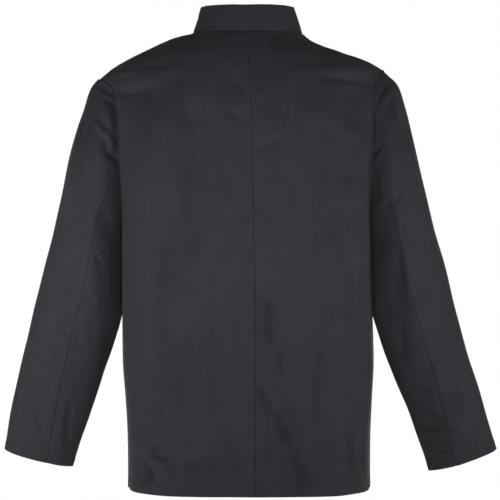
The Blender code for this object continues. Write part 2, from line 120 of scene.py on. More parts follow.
# The rows of a panel. up is 0 at the hem, 1 at the underarm, 2 at the shoulder tip and 3 at the neck.
# A row starts at back_z or front_z on the centre line and leaves it square for a share start of its
# width. It comes to its end along (out, turn, rise) for a share end of its depth. past is how far a
# front goes on beyond the centre.
ROWS = table(
    "up back_z front_z start end out turn back_rise front_rise past",
    (0.00, -0.747, -0.747, 0.80, 0.80, 0.00, 1.00, 0.00, 0.00, 0.085),
    (0.50, -0.520, -0.520, 0.80, 0.82, 0.00, 1.00, 0.00, 0.00, 0.085),
    (1.00, -0.290, -0.305, 0.83, 0.90, 0.00, 1.00, 0.00, 0.00, 0.087),
    (1.25, -0.235, -0.260, 0.82, 0.86, 0.03, 1.00, 0.00, 0.00, 0.088),
    (1.50, -0.170, -0.212, 0.78, 0.78, 0.10, 1.00, 0.00, 0.00, 0.088),
    (1.75, -0.105, -0.168, 0.64, 0.62, 0.40, 0.88, -0.12, -0.06, 0.086),
    (2.00, -0.066, -0.134, 0.52, 0.50, 0.65, 0.72, -0.34, -0.22, 0.082),
    (2.50, -0.031, -0.100, 0.53, 0.50, 0.35, 0.92, -0.05, 0.20, 0.074),
    (3.00, -0.002, -0.072, 0.56, 0.55, 0.00, 0.97, -0.03, 0.40, 0.066),
)
EASED_TO_EDGE = 4
HALVINGS = 22

# Folds are the broad waves of the cloth, each level along a straight line, in millimetres: x and z of its
# two ends, width and depth. A depth is a ridge, or a trough below 0.
BACK_FOLDS = [
    (86, -150, 98, -330, 22, -7.8), (128, -100, 130, -250, 22, 5.2),
    (-122, -170, -128, -320, 22, -6.2), (-165, -110, -160, -230, 20, -5),
    (128, -350, 120, -560, 22, -7.8), (-30, -430, -80, -720, 23, -8),
    (-172, -400, -176, -747, 23, -6.5), (150, -600, 172, -747, 28, -7.5),
]
# Creases are finer and taper to both ends: x and z of the two ends, how far the line bows, width and depth.
BACK_CREASES = [
    # shoulders and upper back
    (233, -87, 126, -74, 0, 7, 1.8), (230, -104, 140, -92, 2, 9.5, -3.7),
    (-216, -70, -100, -70, 0, 7, 1.7), (-208, -87, -110, -80, 3, 8.7, -3.5),
    (42, -55, 7, -107, 3, 12.7, -3.7), (-44, -55, -15, -86, 0, 14.3, -2),
    (102, -71, 153, -140, 5, 17.4, -4.4), (35, -131, 4, -148, 0, 7.9, -3),
    (65, -124, 40, -210, -2, 10.3, -5.2), (42, -197, 26, -270, 0, 8.7, -3.7),
    (75, -159, 86, -359, 3, 9.5, -5.5), (113, -285, 140, -467, -3, 10.3, -6),
    (153, -166, 159, -356, 2, 14.3, 4.5), (-117, -191, -120, -286, 0, 7.9, -4),
    (-112, -277, -103, -375, 0, 9.5, -3), (-150, -99, -184, -163, 3, 9.5, -3.7),
    (-165, -169, -161, -223, 0, 14.3, -3.4), (-65, -115, -58, -166, 0, 7.9, -2.2),
    (-12, -199, -50, -175, 0, 7.9, -2.5),
    # waist and skirt
    (96, -348, 105, -483, 0, 12.7, 4.6), (-138, -296, -139, -626, -5, 11.1, 7.7),
    (-171, -340, -165, -470, 0, 9.5, -8.6), (-187, -464, -190, -641, 0, 9.5, -7.2),
    (-117, -483, -111, -626, 0, 9.5, -6.1), (-28, -432, -44, -464, 0, 6.3, -5.9),
    (-27, -457, -44, -505, 0, 6.3, -5.9), (-52, -511, -58, -556, 0, 7.1, -4.6),
    (-12, -562, -44, -616, 2, 7.1, -8.2), (-41, -607, -69, -670, 0, 7.9, -8.8),
    (-66, -660, -104, -730, 2, 10.3, -8.8), (-73, -588, -71, -645, 0, 7.1, -4.6),
    (124, -549, 156, -626, 0, 11.1, -8.8), (97, -464, 103, -626, 2, 12.7, -8.8),
    (57, -483, 67, -657, 2, 15.9, 6.9),
    # above the hem
    (181, -654, 146, -673, 0, 12.7, -6.5), (181, -676, 153, -727, 3, 8.7, -12.6),
    (165, -686, 121, -702, 0, 7.9, 6.1), (140, -708, 105, -692, 0, 5.5, -4.5),
    (96, -698, 45, -683, 0, 7.9, -5), (108, -730, 96, -689, 0, 7.9, 3.6),
    (32, -705, 7, -676, 0, 7.9, -3.6), (-22, -667, -60, -689, 0, 7.9, -4),
    (-163, -635, -168, -718, 0, 7.1, -7.9), (-165, -660, -190, -735, 0, 6.3, 7.9),
    (-187, -641, -188, -730, 0, 6.3, -5), (-114, -626, -117, -727, 0, 11.1, -4),
    # nicks that the centre seam draws up
    (13, -304, -6, -305, 0, 4.1, -2.1), (7, -326, -8, -331, 0, 3.5, -1.7),
    (5, -350, -8, -351, 0, 3.5, -1.7), (7, -392, -9, -399, 0, 4.8, -2),
    (7, -483, -9, -484, 0, 5.1, -1.8), (8, -597, -9, -599, 0, 4.8, -2.1),
    (4, -621, -11, -626, 0, 3.8, -1.7), (7, -649, -9, -653, 0, 4.1, -1.8),
    (-12, -281, -36, -308, 0, 4.8, -2.6), (-14, -242, -38, -242, 0, 2.9, -1.2),
    (-14, -377, -28, -381, 0, 4.1, -1.7), (-14, -445, -28, -454, 0, 4.8, -2),
    (-11, -118, -28, -126, 0, 4.8, -1.7), (-12, -112, -22, -102, 0, 4, 1.3),
    (-15, -729, -35, -730, 0, 4.8, -2), (-15, -714, -22, -727, 0, 4.1, -1.7),
]

CREASE_SKEW = 0.40  # how much wider one side of a crease is than the other

# A little slackness over all the cloth: waves whose ridges run up and down far more than across. Each has
# its turns across and up in radians a metre, its shift and its height.
SLACK = [
    (31.0, 21.0, 1.2, 0.00060),
    (62.0, 5.0, 0.4, 0.00052),
    (97.0, -9.0, 2.1, 0.00038),
    (148.0, 16.0, 4.0, 0.00024),
    (211.0, -34.0, 5.2, 0.00013),
]

# Small puckers that a row of stitches draws up, side by side along it: radians a metre, shift, height.
PUCKERS = [(233.0, 4.4, 0.00022), (410.0, 0.3, 0.00016), (655.0, 1.9, 0.00013)]
PUCKER_REACH = 0.013

TWILL_THICK = 0.0009
SEAM_DEEP, SEAM_WIDE = 0.0006, 0.0010  # the groove in which two panels meet
EDGE_ROUND = 0.0003  # how far a free edge rounds out
HEM_DEEP = 0.016  # from the folded edge up to its row of stitches
TURNING = 0.009  # width of the cloth turned under beside a seam
TURNING_LIFT = 0.00035  # how far it and the doubled hem lift the cloth
TURNING_END, HEM_END = 0.002, 0.0015  # widths over which a turning and the hem end
STITCH_SINK, STITCH_WIDE = 0.0005, 0.0009  # the groove that a row of stitches draws: depth and half width
FREE_OF_SEAM = 0.012  # width beside a seam over which creases die away
# Where a sleeve hangs against a panel, as the start and the width of each rise: by the share across, by
# the row counted up, and by the row counted down.
BESIDE_SLEEVE, ABOVE_ELBOW, BELOW_TIP = (0.86, 0.12), (0.45, 0.12), (-1.8, 0.3)

UP = {"hem": 118, "armhole": 72, "shoulder": 50}  # grid steps up the three stretches of a panel's side
BACK_STEPS = 100  # across one back panel


def spline(rows, along, name, at):
    """One column of a table as a smooth curve: cubic pieces whose end slopes are those of the chords."""
    x = np.array([getattr(row, along) for row in rows], float)
    y = np.array([getattr(row, name) for row in rows], float)
    slope = np.gradient(y, x)
    at = np.clip(at, x[0], x[-1])
    i = np.clip(np.searchsorted(x, at, side="right") - 1, 0, len(x) - 2)
    width = x[i + 1] - x[i]
    t = (at - x[i]) / width
    near = (1 + 2 * t) * (1 - t) ** 2 * y[i] + t * (1 - t) ** 2 * width * slope[i]
    far = t * t * (3 - 2 * t) * y[i + 1] - t * t * (1 - t) * width * slope[i + 1]
    return near + far


def ease(t):
    """3t² - 2t³, which goes from 0 to 1 with level ends."""
    t = np.clip(t, 0, 1)
    return t * t * (3 - 2 * t)


def rising(value, start, width):
    """0 up to start and 1 beyond start + width, eased between them."""
    return ease((value - start) / width)


def bell(distance, width):
    """exp(-(distance / width)²)."""
    return np.exp(-((distance / width) ** 2))


def unit(v):
    """Each vector over its own length."""
    return v / np.linalg.norm(v, axis=-1, keepdims=True)


def points_of(x, y, z):
    """The points of three coordinates, each an array or one number."""
    return np.stack(np.broadcast_arrays(x, y, z), axis=-1)


def outward(side):
    """The way along X from the middle to a side."""
    return 1 if side == "left" else -1


def crowded(steps, waves, share):
    """Places from 0 to 1, closer at the start (1 wave) or at both ends (2): t less a sine of t."""
    t = np.arange(steps + 1) / steps
    return t - share * np.sin(waves * pi * t) / (waves * pi)


def armhole(side, face, turn):
    """Half an oval from the underarm (turn 0) to the shoulder tip (turn 1). Its height goes by a cosine
    and its depth by a sine, and x flares by a power of the height. face is 1 behind and -1 in front."""
    hole = ARMHOLE[side]
    up = (1 - np.cos(pi * turn)) / 2
    behind = face > 0
    far_x = np.where(behind, hole.back_x, hole.front_x)
    edge = hole.under_x + (far_x - hole.under_x) * ease(2 * up)
    x = edge + (hole.tip_x - far_x) * up ** np.where(behind, BACK_FLARE, FRONT_FLARE)
    y = hole.tip_y * up + face * np.where(behind, hole.back_reach, hole.front_reach) * np.sin(pi * turn)
    z = hole.under_z + (hole.tip_z - hole.under_z) * up
    return points_of(x, y, z)


def shoulder(side, along):
    """Straight in plan from the shoulder tip (0) to the neck (1), its height read from the table."""
    hole = ARMHOLE[side]
    x = NECK_X[side] + (hole.tip_x - NECK_X[side]) * (1 - along)
    y = NECK_Y + (hole.tip_y - NECK_Y) * (1 - along)
    return points_of(x, y, spline(SHOULDER, "from_neck", side + "_z", 1 - along))


def row_end(side, face, up):
    """Where a row ends: up the side seam, then up a line inside the sleeve, then along the shoulder seam
    by 2b² - b³, so that the rows leave the shoulder tip slowly and fan out round it."""
    hem, under = SIDE[0].z, ARMHOLE[side].under_z
    z = hem + (under - hem) * np.clip(up, 0, 1)
    seam = points_of(spline(SIDE, "z", side + "_x", z), 0.0, z)
    rise = np.clip(up - 1, 0, 1)
    arm = armhole(side, face, rise)
    arm[..., 0] += outward(side) * BEYOND_ARMHOLE * np.sin(pi * rise)
    arm[..., 1] = ARMHOLE[side].tip_y * rise
    beyond_tip = np.clip(up - 2, 0, 1)
    top = shoulder(side, beyond_tip**2 * (2 - beyond_tip))
    up = up[..., None]
    return np.where(up <= 1, seam, np.where(up <= 2, arm, top))


def row_curve(side, face, up, across):
    """A row as a cubic Bezier curve, from the centre line at across 0 to the row's end at across 1."""
    name = "back" if face > 0 else "front"
    z = spline(ROWS, "up", name + "_z", up)
    seam_x = spline(CENTRE, "z", "seam_x", z) * (face > 0)
    centre = points_of(seam_x, spline(CENTRE, "z", name + "_y", z), z)
    end = row_end(side, face, up)
    width = end[..., 0] - seam_x
    depth = np.linalg.norm(end[..., 1:] - centre[..., 1:], axis=-1)
    out, turn, rise = (spline(ROWS, "up", column, up) for column in ("out", "turn", name + "_rise"))
    arriving = unit(points_of(outward(side) * out, -face * turn, rise))
    first = centre + points_of(width * spline(ROWS, "up", "start", up), 0.0, 0.0)
    last = end - arriving * (depth * spline(ROWS, "up", "end", up))[..., None]
    t = across[..., None]
    return (1 - t) ** 3 * centre + 3 * t * (1 - t) ** 2 * first + 3 * t * t * (1 - t) * last + t**3 * end


def halved(short, shape):
    """The share from 0 to 1 below which short holds, by halving."""
    low, high = np.zeros(shape), np.ones(shape)
    for _ in range(HALVINGS):
        middle = (low + high) / 2
        below = short(middle)
        low, high = np.where(below, middle, low), np.where(below, high, middle)
    return low


def panel(side, face, up, across):
    """The row curves. Those beside the armhole stop at its depth and are eased onto its edge, by the
    fourth power of the distance across."""
    hole = armhole(side, face, np.clip(up - 1, 0, 1))
    reach = halved(lambda t: face * (row_curve(side, face, up, t) - hole)[..., 1] > 0, up.shape)
    beside_arm = (up > 1) & (up < 2)
    stop = np.where(beside_arm, reach, 1)
    miss = (hole - row_curve(side, face, up, stop)) * beside_arm[..., None]
    return row_curve(side, face, up, across * stop) + miss * (across**EASED_TO_EDGE)[..., None]


def facing_of(points):
    """The unit normal at each point of a grid: the cross product of its slopes up and across."""
    return unit(np.cross(np.gradient(points, axis=0), np.gradient(points, axis=1)))


def folded(points, folds):
    """Sum of the folds at each point: depth times a bell of the distance to the fold's line."""
    move = np.zeros(points.shape[:-1])
    for x1, z1, x2, z2, width, depth in np.array(folds) / 1000:
        run = np.array([x2 - x1, z2 - z1])
        start = points[..., [0, 2]] - [x1, z1]
        s = np.clip(start @ run / (run @ run), 0, 1)
        away = np.linalg.norm(start - s[..., None] * run, axis=-1)
        move += depth * bell(away, width)
    return move


def creased(points, creases):
    """Sum of the creases at each point: depth times 1 - (2s - 1)² along the line, times a bell of the
    distance beside it, where the line is bowed by 4s(1 - s). A crease widens towards its second end, and
    one of its sides is steeper than the other, by a tanh of the distance."""
    move = np.zeros(points.shape[:-1])
    for x1, z1, x2, z2, bow, width, depth in np.array(creases) / 1000:
        run = np.array([x2 - x1, z2 - z1])
        start = points[..., [0, 2]] - [x1, z1]
        s = np.clip(start @ run / (run @ run), 0, 1)
        beside = (start[..., 1] * run[0] - start[..., 0] * run[1]) / np.hypot(*run)
        off = beside - bow * 4 * s * (1 - s)
        skewed = width * (0.75 + 0.5 * s) * (1 + CREASE_SKEW * np.tanh(off / width))
        move += depth * (1 - (2 * s - 1) ** 2) * bell(off, skewed)
    return move


def slack(across, up):
    """Sum of sines that cross the cloth at a few slopes."""
    return sum(height * np.sin(by_x * across + by_z * up + shift) for by_x, by_z, shift, height in SLACK)


def puckered(along, away):
    """Sum of sines along a row of stitches, times a bell of the distance from it."""
    waves = sum(height * np.sin(by_run * along + shift) for by_run, shift, height in PUCKERS)
    return waves * bell(away, PUCKER_REACH)


def sewn_down(move, *seams):
    """The panels stand proud of the lines on which they are sewn together: the move plus the groove's
    depth, times 1 less a bell of the distance from each seam, so both panels meet exactly on its line."""
    move = move + SEAM_DEEP
    for away in seams:
        move = move * (1 - bell(away, SEAM_WIDE))
    return move


def turned_under(away):
    """The turning beneath lifts the cloth as far as it reaches."""
    return TURNING_LIFT * (1 - rising(away, TURNING, TURNING_END))


def hemmed(height, along):
    """The doubled hem stands proud, and its row of stitches draws a groove and puckers."""
    away = height - HEM_DEEP
    proud = TURNING_LIFT * (1 - ease(away / HEM_END))
    return proud - STITCH_SINK * bell(away, STITCH_WIDE) + puckered(along, away)


def doubled(height):
    """The thickness of the cloth, twice its own as far as the hem is turned up."""
    return TWILL_THICK * (2 - rising(height, HEM_DEEP, TURNING_END))


def run_of(points, axis):
    """Length of cloth from the first row (axis 0) or the first column (axis 1) to each point."""
    step = np.linalg.norm(np.diff(points, axis=axis), axis=-1)
    return np.concatenate([np.zeros_like(step.take([0], axis)), step.cumsum(axis)], axis=axis)


def raised(points, move):
    """The grid pushed out along its own facing."""
    return points + facing_of(points) * move[..., None]


# Each edge of a grid: its axis, its own number along it and that of its neighbour.
EDGES = {
    "first row": (0, 0, 1),
    "last row": (0, -1, -2),
    "first column": (1, 0, 1),
    "last column": (1, -1, -2),
}


def edge_moved(points, edge, reach):
    """The grid with one edge moved out along the cloth by reach, or drawn in where that is negative."""
    axis, last, inner = EDGES[edge]
    made = points.copy()
    moved, still = (made, points) if axis == 0 else (made.swapaxes(0, 1), points.swapaxes(0, 1))
    moved[last] += unit(still[last] - still[inner]) * reach
    return made


def rim(grid):
    """What lies round the grid's edge, in order."""
    return np.concatenate([grid[0, :-1], grid[:-1, -1], grid[-1, :0:-1], grid[:0:-1, 0]])


def grain(points, centre):
    """Place in the cloth, whose threads run up and down and level: the level distance round from the
    centre column, and the height."""
    round_body = run_of(points[..., :2], 1)
    return np.stack([round_body - round_body[:, centre : centre + 1], points[..., 2]], axis=-1)


def add_mesh(name, points, faces, uv, material):
    """A smooth mesh at the origin, with one UV per point, riding on the jacket."""
    mesh = bpy.data.meshes.new(name)
    mesh.from_pydata(points.tolist(), [], faces)
    layer = mesh.uv_layers.new(name="cloth")
    corner = np.empty(len(mesh.loops), np.int32)
    mesh.loops.foreach_get("vertex_index", corner)
    layer.data.foreach_set("uv", uv[corner].ravel())
    mesh.materials.append(material)
    mesh.shade_smooth()
    piece = bpy.data.objects.new(name, mesh)
    bpy.context.scene.collection.objects.link(piece)
    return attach(piece, "root")


def sewn_piece(name, node, points, uv, thick, free, material):
    """One cut piece of cloth: the grid, the same grid moved in by thick, and an edge between them, which
    rounds out where it is free. It stands for its solid, and its flat cut is measured from the grid."""
    facing = facing_of(points) * np.broadcast_to(thick, points.shape[:2])[..., None]
    middle = points - facing / 2
    for edge in free:
        points, middle = edge_moved(points, edge, -EDGE_ROUND), edge_moved(middle, edge, EDGE_ROUND / 2)
    inside = points - facing
    count = points.shape[0] * points.shape[1]
    outer = np.arange(count).reshape(points.shape[:2])
    inner = outer + count
    near, far = rim(outer), rim(inner)
    between = 2 * count + np.arange(len(near))
    faces = [
        np.stack([outer[:-1, :-1], outer[1:, :-1], outer[1:, 1:], outer[:-1, 1:]], axis=-1).reshape(-1, 4),
        np.stack([inner[:-1, :-1], inner[:-1, 1:], inner[1:, 1:], inner[1:, :-1]], axis=-1).reshape(-1, 4),
        np.stack([near, np.roll(near, -1), np.roll(between, -1), between], axis=-1),
        np.stack([between, np.roll(between, -1), np.roll(far, -1), far], axis=-1),
    ]
    spots = np.concatenate([points.reshape(-1, 3), inside.reshape(-1, 3), rim(middle)])
    uv = np.concatenate([uv.reshape(-1, 2), uv.reshape(-1, 2), rim(uv)])
    piece = add_mesh(name, spots, np.concatenate(faces).tolist(), uv, material)
    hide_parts(node)
    wide, long = run_of(points, 1).max(), run_of(points, 0).max()


def filled(tree, node, inputs):
    """The node, each named input given its value, or linked where that is another node's output."""
    for name, value in inputs.items():
        if isinstance(value, bpy.types.NodeSocket):
            tree.links.new(value, node.inputs[name])
        else:
            node.inputs[name].default_value = value
    return node


def new_node(tree, kind, inputs):
    """A new node of a kind, with its inputs filled."""
    return filled(tree, tree.nodes.new("ShaderNode" + kind), inputs)


def stretched(tree, place, scale, turn=0.0):
    """The cloth's own coordinates, scaled and turned."""
    inputs = {"Vector": place, "Scale": scale, "Rotation": (0, 0, turn)}
    return new_node(tree, "Mapping", inputs).outputs["Vector"]


def noise(tree, place, scale, detail):
    """Cloudy noise, with so many spots per metre across and up the cloth."""
    inputs = {"Vector": stretched(tree, place, (*scale, 1)), "Scale": 1, "Detail": detail}
    return new_node(tree, "TexNoise", inputs).outputs["Fac"]


def mixed(tree, first, second, share):
    """The first value and the second one, in this share."""
    return new_node(tree, "Mix", {"Factor": share, "A": first, "B": second}).outputs["Result"]


def new_material(name):
    """A material, its node tree, its shader and the place in the cloth that its patterns follow."""
    material = bpy.data.materials.new(name)
    material.use_nodes = True
    tree = material.node_tree
    uv = tree.nodes.new("ShaderNodeUVMap")
    uv.uv_map = "cloth"
    return material, tree, tree.nodes["Principled BSDF"], uv.outputs["UV"]


def woven(name, colour, rib, turn):
    """Black twill: slanted ribs and slubs in the bump, faint streaks and mottling in the colour, and the
    short sheen of cotton fibre. rib is the width of one twill line in metres."""
    material, tree, shader, place = new_material(name)
    streaks, mottling = noise(tree, place, (420, 26), 2), noise(tree, place, (38, 30), 3)
    tone = new_node(tree, "ValToRGB", {"Fac": mixed(tree, streaks, mottling, 0.45)})
    for stop, position, share in zip(tone.color_ramp.elements, (0.34, 0.66), (0.86, 1.14)):
        stop.position = position
        stop.color = (*(share * c for c in colour), 1)

    slanted = stretched(tree, place, (1, 1, 1), turn)
    inputs = {"Vector": slanted, "Scale": pi / 10 / rib, "Distortion": 0.6, "Detail": 1}
    ribs = new_node(tree, "TexWave", inputs)
    relief = mixed(tree, ribs.outputs["Fac"], noise(tree, place, (900, 120), 1), 0.5)
    bump = new_node(tree, "Bump", {"Strength": 0.35, "Distance": 0.0004, "Height": relief})
    filled(tree, shader, {
        "Base Color": tone.outputs["Color"],
        "Roughness": 0.80,
        "Specular IOR Level": 0.22,
        "Sheen Weight": 0.05,
        "Sheen Roughness": 0.40,
        "Sheen Tint": (0.88, 0.88, 1.0, 1),
        "Normal": bump.outputs["Normal"],
    })
    return material


TWILL = woven("black_twill_weave", (0.0225, 0.0215, 0.0265), 0.0011, radians(27))

ups = np.concatenate([
    crowded(UP["hem"], 1, 0.6)[:-1],
    1 + crowded(UP["armhole"], 2, 0.3)[:-1],
    2 + crowded(UP["shoulder"], 2, 0.5),
])


def free_of_seams(points, across):
    """1 over the open cloth, eased to 0 at the side, shoulder and armhole seams and at the neckline.
    across is 0 at the centre, and counts down to -1 on the right."""
    run = run_of(points, 1)
    from_end = np.where(across > 0, run[:, -1:] - run, run - run[:, :1])
    height = run_of(points, 0)
    return ease(from_end / FREE_OF_SEAM) * ease((height[-1:] - height) / FREE_OF_SEAM)


def clear_of_sleeve(move, up, across):
    """The move, fading to none beside the side seam where the sleeve hangs against it."""
    reach = rising(np.abs(across), *BESIDE_SLEEVE)
    return move * (1 - reach * rising(up, *ABOVE_ELBOW) * rising(-up, *BELOW_TIP))


half = crowded(BACK_STEPS, 2, 0.65)
up, across = np.meshgrid(ups, np.concatenate([-half[::-1], half[1:]]), indexing="ij")
right, left = (panel(side, 1, up, np.abs(across)) for side in ("right", "left"))
back = np.where((across < 0)[..., None], right, left)
move = folded(back, BACK_FOLDS) + creased(back, BACK_CREASES) + slack(back[..., 0], back[..., 2])
back = raised(back, clear_of_sleeve(move * free_of_seams(back, across), up, across))

run, height = run_of(back, 1), run_of(back, 0)
from_centre = run - run[:, BACK_STEPS : BACK_STEPS + 1]
from_side = np.where(across > 0, run[:, -1:] - run, run)
move = turned_under(from_side) + turned_under(np.abs(from_centre)) * (across < 0)
move += hemmed(height, from_centre) + puckered(height, from_centre) * 0.5
back = raised(back, sewn_down(move, from_side, from_centre, height[-1:] - height))
thick = doubled(height)
uv = grain(back, BACK_STEPS)
for name, columns in (("back_right", slice(0, BACK_STEPS + 1)), ("back_left", slice(BACK_STEPS, None))):
    free = ("first row",)
    sewn_piece(name + "_twill", name, back[:, columns], uv[:, columns], thick[:, columns], free, TWILL)


# ---- The fronts
# Each front goes on past the centre, so that the two overlap: the wearer's left lies over the right.
# They are cut from the same twill, with a deep turning down each free edge.

OVERLAP_LIFT = 0.0021  # from the under front's outer face to the over front's
LIFT_FADE = 0.022  # width beyond the overlap over which the over front comes down to lie level
TOP_DROP = {"left": 0.067, "right": 0.25}  # how far down the rows each loose top edge lies past the centre
TOP_DROP_WIDTH = 0.012  # width past the centre over which it drops
TOP_FADE = 0.012  # height below the neckline over which the over front comes in to the collar
OWN_STEPS, PAST_STEPS = 96, 44  # grid steps from the side to the centre, and on past it
EDGE_TURNING = 0.030  # width of the turning down a front's free edge
EDGE_LIFT, EDGE_END = 0.0003, 0.0025  # how far it lifts the cloth, and the width over which that ends
EDGE_SINK = 0.0004  # depth of the groove that its stitches draw
OUT_OF_REACH = 0.02  # added to a loose edge's distance from the seam, so that no groove runs along it

BUTTON_X = 0.0650
BUTTON_HEIGHTS = [-0.110, -0.206, -0.302, -0.398, -0.494]  # of each pair, on the front's centre line
BUTTON_FLAT = 0.016  # radius within which the cloth lies flat under a button
BUTTON_REACH = 0.01  # step, in rows and across, to the places that give the cloth's slope under a button

FRONT_FOLDS = [
    (150, -180, 110, -340, 24, -6), (-140, -170, -120, -330, 24, -6),
    (140, -430, 150, -747, 28, -7), (-150, -400, -138, -747, 28, -7),
]
FRONT_CREASES = [
    # from the shoulders and armholes
    (186, -112, 128, -158, 4, 11, -4.5), (178, -142, 118, -214, 5, 10, -3.9),
    (188, -206, 142, -262, 4, 9, -3.6), (168, -128, 120, -180, 4, 8, 2.4),
    (-180, -104, -120, -150, -4, 11, -4.5), (-172, -146, -126, -224, -4, 10, -3.6),
    (-182, -214, -134, -262, -3, 8.5, -3.9), (-160, -128, -116, -190, -5, 8, 2.3),
    (100, -98, 96, -176, 3, 11, -2.1), (-104, -94, -98, -168, -3, 11, -2.1),
    # down the sides
    (118, -292, 132, -486, 4, 11, -3.6), (160, -330, 168, -560, -4, 10, 3.3),
    (176, -420, 180, -640, 3, 9.5, -3.9), (104, -520, 112, -700, 3, 12, -2.7),
    (-124, -300, -118, -462, -4, 11, -3.6), (-158, -352, -164, -590, 4, 10, 3.6),
    (-178, -440, -182, -668, 3, 9.5, -4.2), (-108, -540, -114, -716, -3, 12, -2.4),
    # drawn between the buttons
    (52, -116, 12, -150, 3, 8, -1.9), (-50, -212, -14, -246, -3, 8, -1.8),
    (54, -310, 10, -338, 3, 8, -2.1), (-54, -404, -8, -438, -3, 8, -1.9),
    (56, -500, 20, -552, 3, 9, -2.3), (-58, -506, -40, -590, 3, 10, -2.1),
    (82, -214, 110, -250, 3, 8, -1.9), (80, -402, 112, -424, 3, 8, -1.9),
    # above the hem
    (176, -668, 132, -690, 0, 10, -4.3), (160, -700, 118, -726, 3, 8, 3.2),
    (70, -660, 30, -712, 3, 10, -2.9), (-170, -660, -140, -716, -3, 8, -4.3),
    (-120, -690, -92, -728, 2, 8, 2.5), (-60, -668, -26, -700, 2, 9, -2.7),
]


def across_at(side, up, distance):
    """The share of the way across at which a front row stands this far from the centre."""
    return halved(lambda t: np.abs(panel(side, -1, up, t)[..., 0]) < distance, distance.shape)


def button_spot(side, z):
    """The point of the front under a button, and the cloth's facing there."""
    line = np.linspace(0, 3, 601)
    up = np.interp(z, spline(ROWS, "up", "front_z", line), line)
    across = across_at(side, np.array([up]), np.array([BUTTON_X]))[0]
    nearby = BUTTON_REACH * np.array([-1, 0, 1])
    patch = panel(side, -1, *np.meshgrid(up + nearby, across + nearby, indexing="ij"))
    return patch[1, 1], facing_of(patch)[1, 1] * -outward(side)


spots = [button_spot(side, z) for side in ("left", "right") for z in BUTTON_HEIGHTS]


def under_buttons(points):
    """0 under each button, rising to 1 round it."""
    keep = np.ones(points.shape[:-1])
    for spot, _ in spots:
        keep *= 1 - bell(np.linalg.norm(points - spot, axis=-1), BUTTON_FLAT)
    return keep


fronts = {}
for side, other in (("left", "right"), ("right", "left")):
    own_up, own = np.meshgrid(ups, 1 - crowded(OWN_STEPS, 1, -0.5)[:-1], indexing="ij")
    past_up, share = np.meshgrid(ups, 1 - crowded(PAST_STEPS, 1, 0.7)[::-1], indexing="ij")
    past = share * spline(ROWS, "up", "past", past_up)
    sewn = np.concatenate([np.ones_like(own), 1 - ease(past / TOP_DROP_WIDTH)], axis=1)
    past_up = past_up - TOP_DROP[side] * ease(past / TOP_DROP_WIDTH) * ease(past_up - 2)
    beyond = panel(other, -1, past_up, across_at(other, past_up, past))
    front = np.concatenate([panel(side, -1, own_up, own), beyond], axis=1)
    up = np.concatenate([own_up, past_up], axis=1)
    across = np.concatenate([own, np.zeros_like(past)], axis=1)
    run, height = run_of(front, 1), run_of(front, 0)
    from_top = height[-1:] - height
    keep = ease(run / FREE_OF_SEAM) * ease(from_top / FREE_OF_SEAM)
    move = folded(front, FRONT_FOLDS) + creased(front, FRONT_CREASES)
    move += slack(front[..., 0] + 0.31, front[..., 2] * 0.93)  # the back's waves, moved on and drawn out
    move = clear_of_sleeve(move * keep * under_buttons(front), up, across)
    if side == "left":
        reach = spline(ROWS, "up", "past", ups)[:, None] + LIFT_FADE
        clear_of_collar = 1 - sewn * (1 - ease(from_top / TOP_FADE))
        move += OVERLAP_LIFT * ease((reach - front[..., 0]) / LIFT_FADE) * clear_of_collar
    front = raised(front, move * outward(side))
    run, height = run_of(front, 1), run_of(front, 0)
    from_edge, from_top = run[:, -1:] - run, height[-1:] - height
    move = turned_under(run) + hemmed(height, run + 0.7)
    move += EDGE_LIFT * (1 - rising(from_edge, EDGE_TURNING, EDGE_END))
    move -= EDGE_SINK * bell(from_edge - EDGE_TURNING, STITCH_WIDE)
    move = sewn_down(move, run, from_top + OUT_OF_REACH * (1 - sewn))
    front = raised(front, move * outward(side))
    thick = doubled(height)
    uv = grain(front, OWN_STEPS)
    turn = slice(None, None, outward(side))
    fronts[side] = front[:, turn]
    free = ("first row", "last column" if side == "left" else "first column")
    name = f"front_{side}"
    sewn_piece(name + "_twill", name, front[:, turn], uv[:, turn], thick[:, turn], free, TWILL)


# ---- The sleeves
# Two-piece sleeves: a wide upper panel over the outside of the arm and a narrow under panel inside it,
# joined along the elbow and the fore seam and set into the armhole. The cuffs are turned up and stitched.

# The rings of the sleeves, armhole to cuff, in millimetres and degrees: how far back the middle is, half
# the depth, how far it tips forward, how far round from the outer point the elbow seam lies behind and the
# fore seam in front, and each side's own outer and inner point.
SLEEVE = table(
    "number y half_depth tip elbow fore "
    "left_out_x left_out_z left_in_x left_in_z right_out_x right_out_z right_in_x right_in_z",
    (0, 0, 69, 0, 105, 135, 244.1, -75.5, 207, -300, -224, -62.5, -198.5, -295),
    (1, 0, 78, 0, 107, 134, 259, -91.5, 207.5, -312, -247, -83.5, -199.5, -308),
    (2, 2, 83, 0, 108, 132, 272.5, -128, 207.8, -333, -258.5, -124, -201, -331),
    (3, 4, 82, 1, 107, 130, 287, -178, 208, -360, -269.5, -176, -202.5, -358),
    (4, 6, 77, 2, 103, 128, 301.2, -240, 208, -392, -284.3, -239, -203.8, -390),
    (5, 8, 69, 2, 97, 126, 316.3, -307, 208.1, -428, -302.2, -307, -204.8, -426),
    (6, 8, 60, 3, 94, 124, 332, -375, 208.2, -464, -320.5, -375, -205.5, -464),
    (7, 5, 52, 4, 93, 122, 350.3, -450, 224.5, -522, -339.5, -450, -225, -523),
    (8, 0, 44, 5, 100, 121, 370.5, -535, 252.5, -597, -364, -535, -256, -599),
    (9, -8, 38, 6, 107, 120, 388.5, -613, 273.8, -654, -388, -613, -275.8, -656),
    (10, -18, 34, 6, 113, 120, 403, -684, 292.6, -713.6, -411, -684, -300.5, -721.2),
)
ARMHOLE_REACH = 0.35  # share of the sleeve over which the armhole's own bend fades out
TO_BODY = {"left": 0.0004, "right": 0.0021}  # how far its inner side comes to meet the side of the body
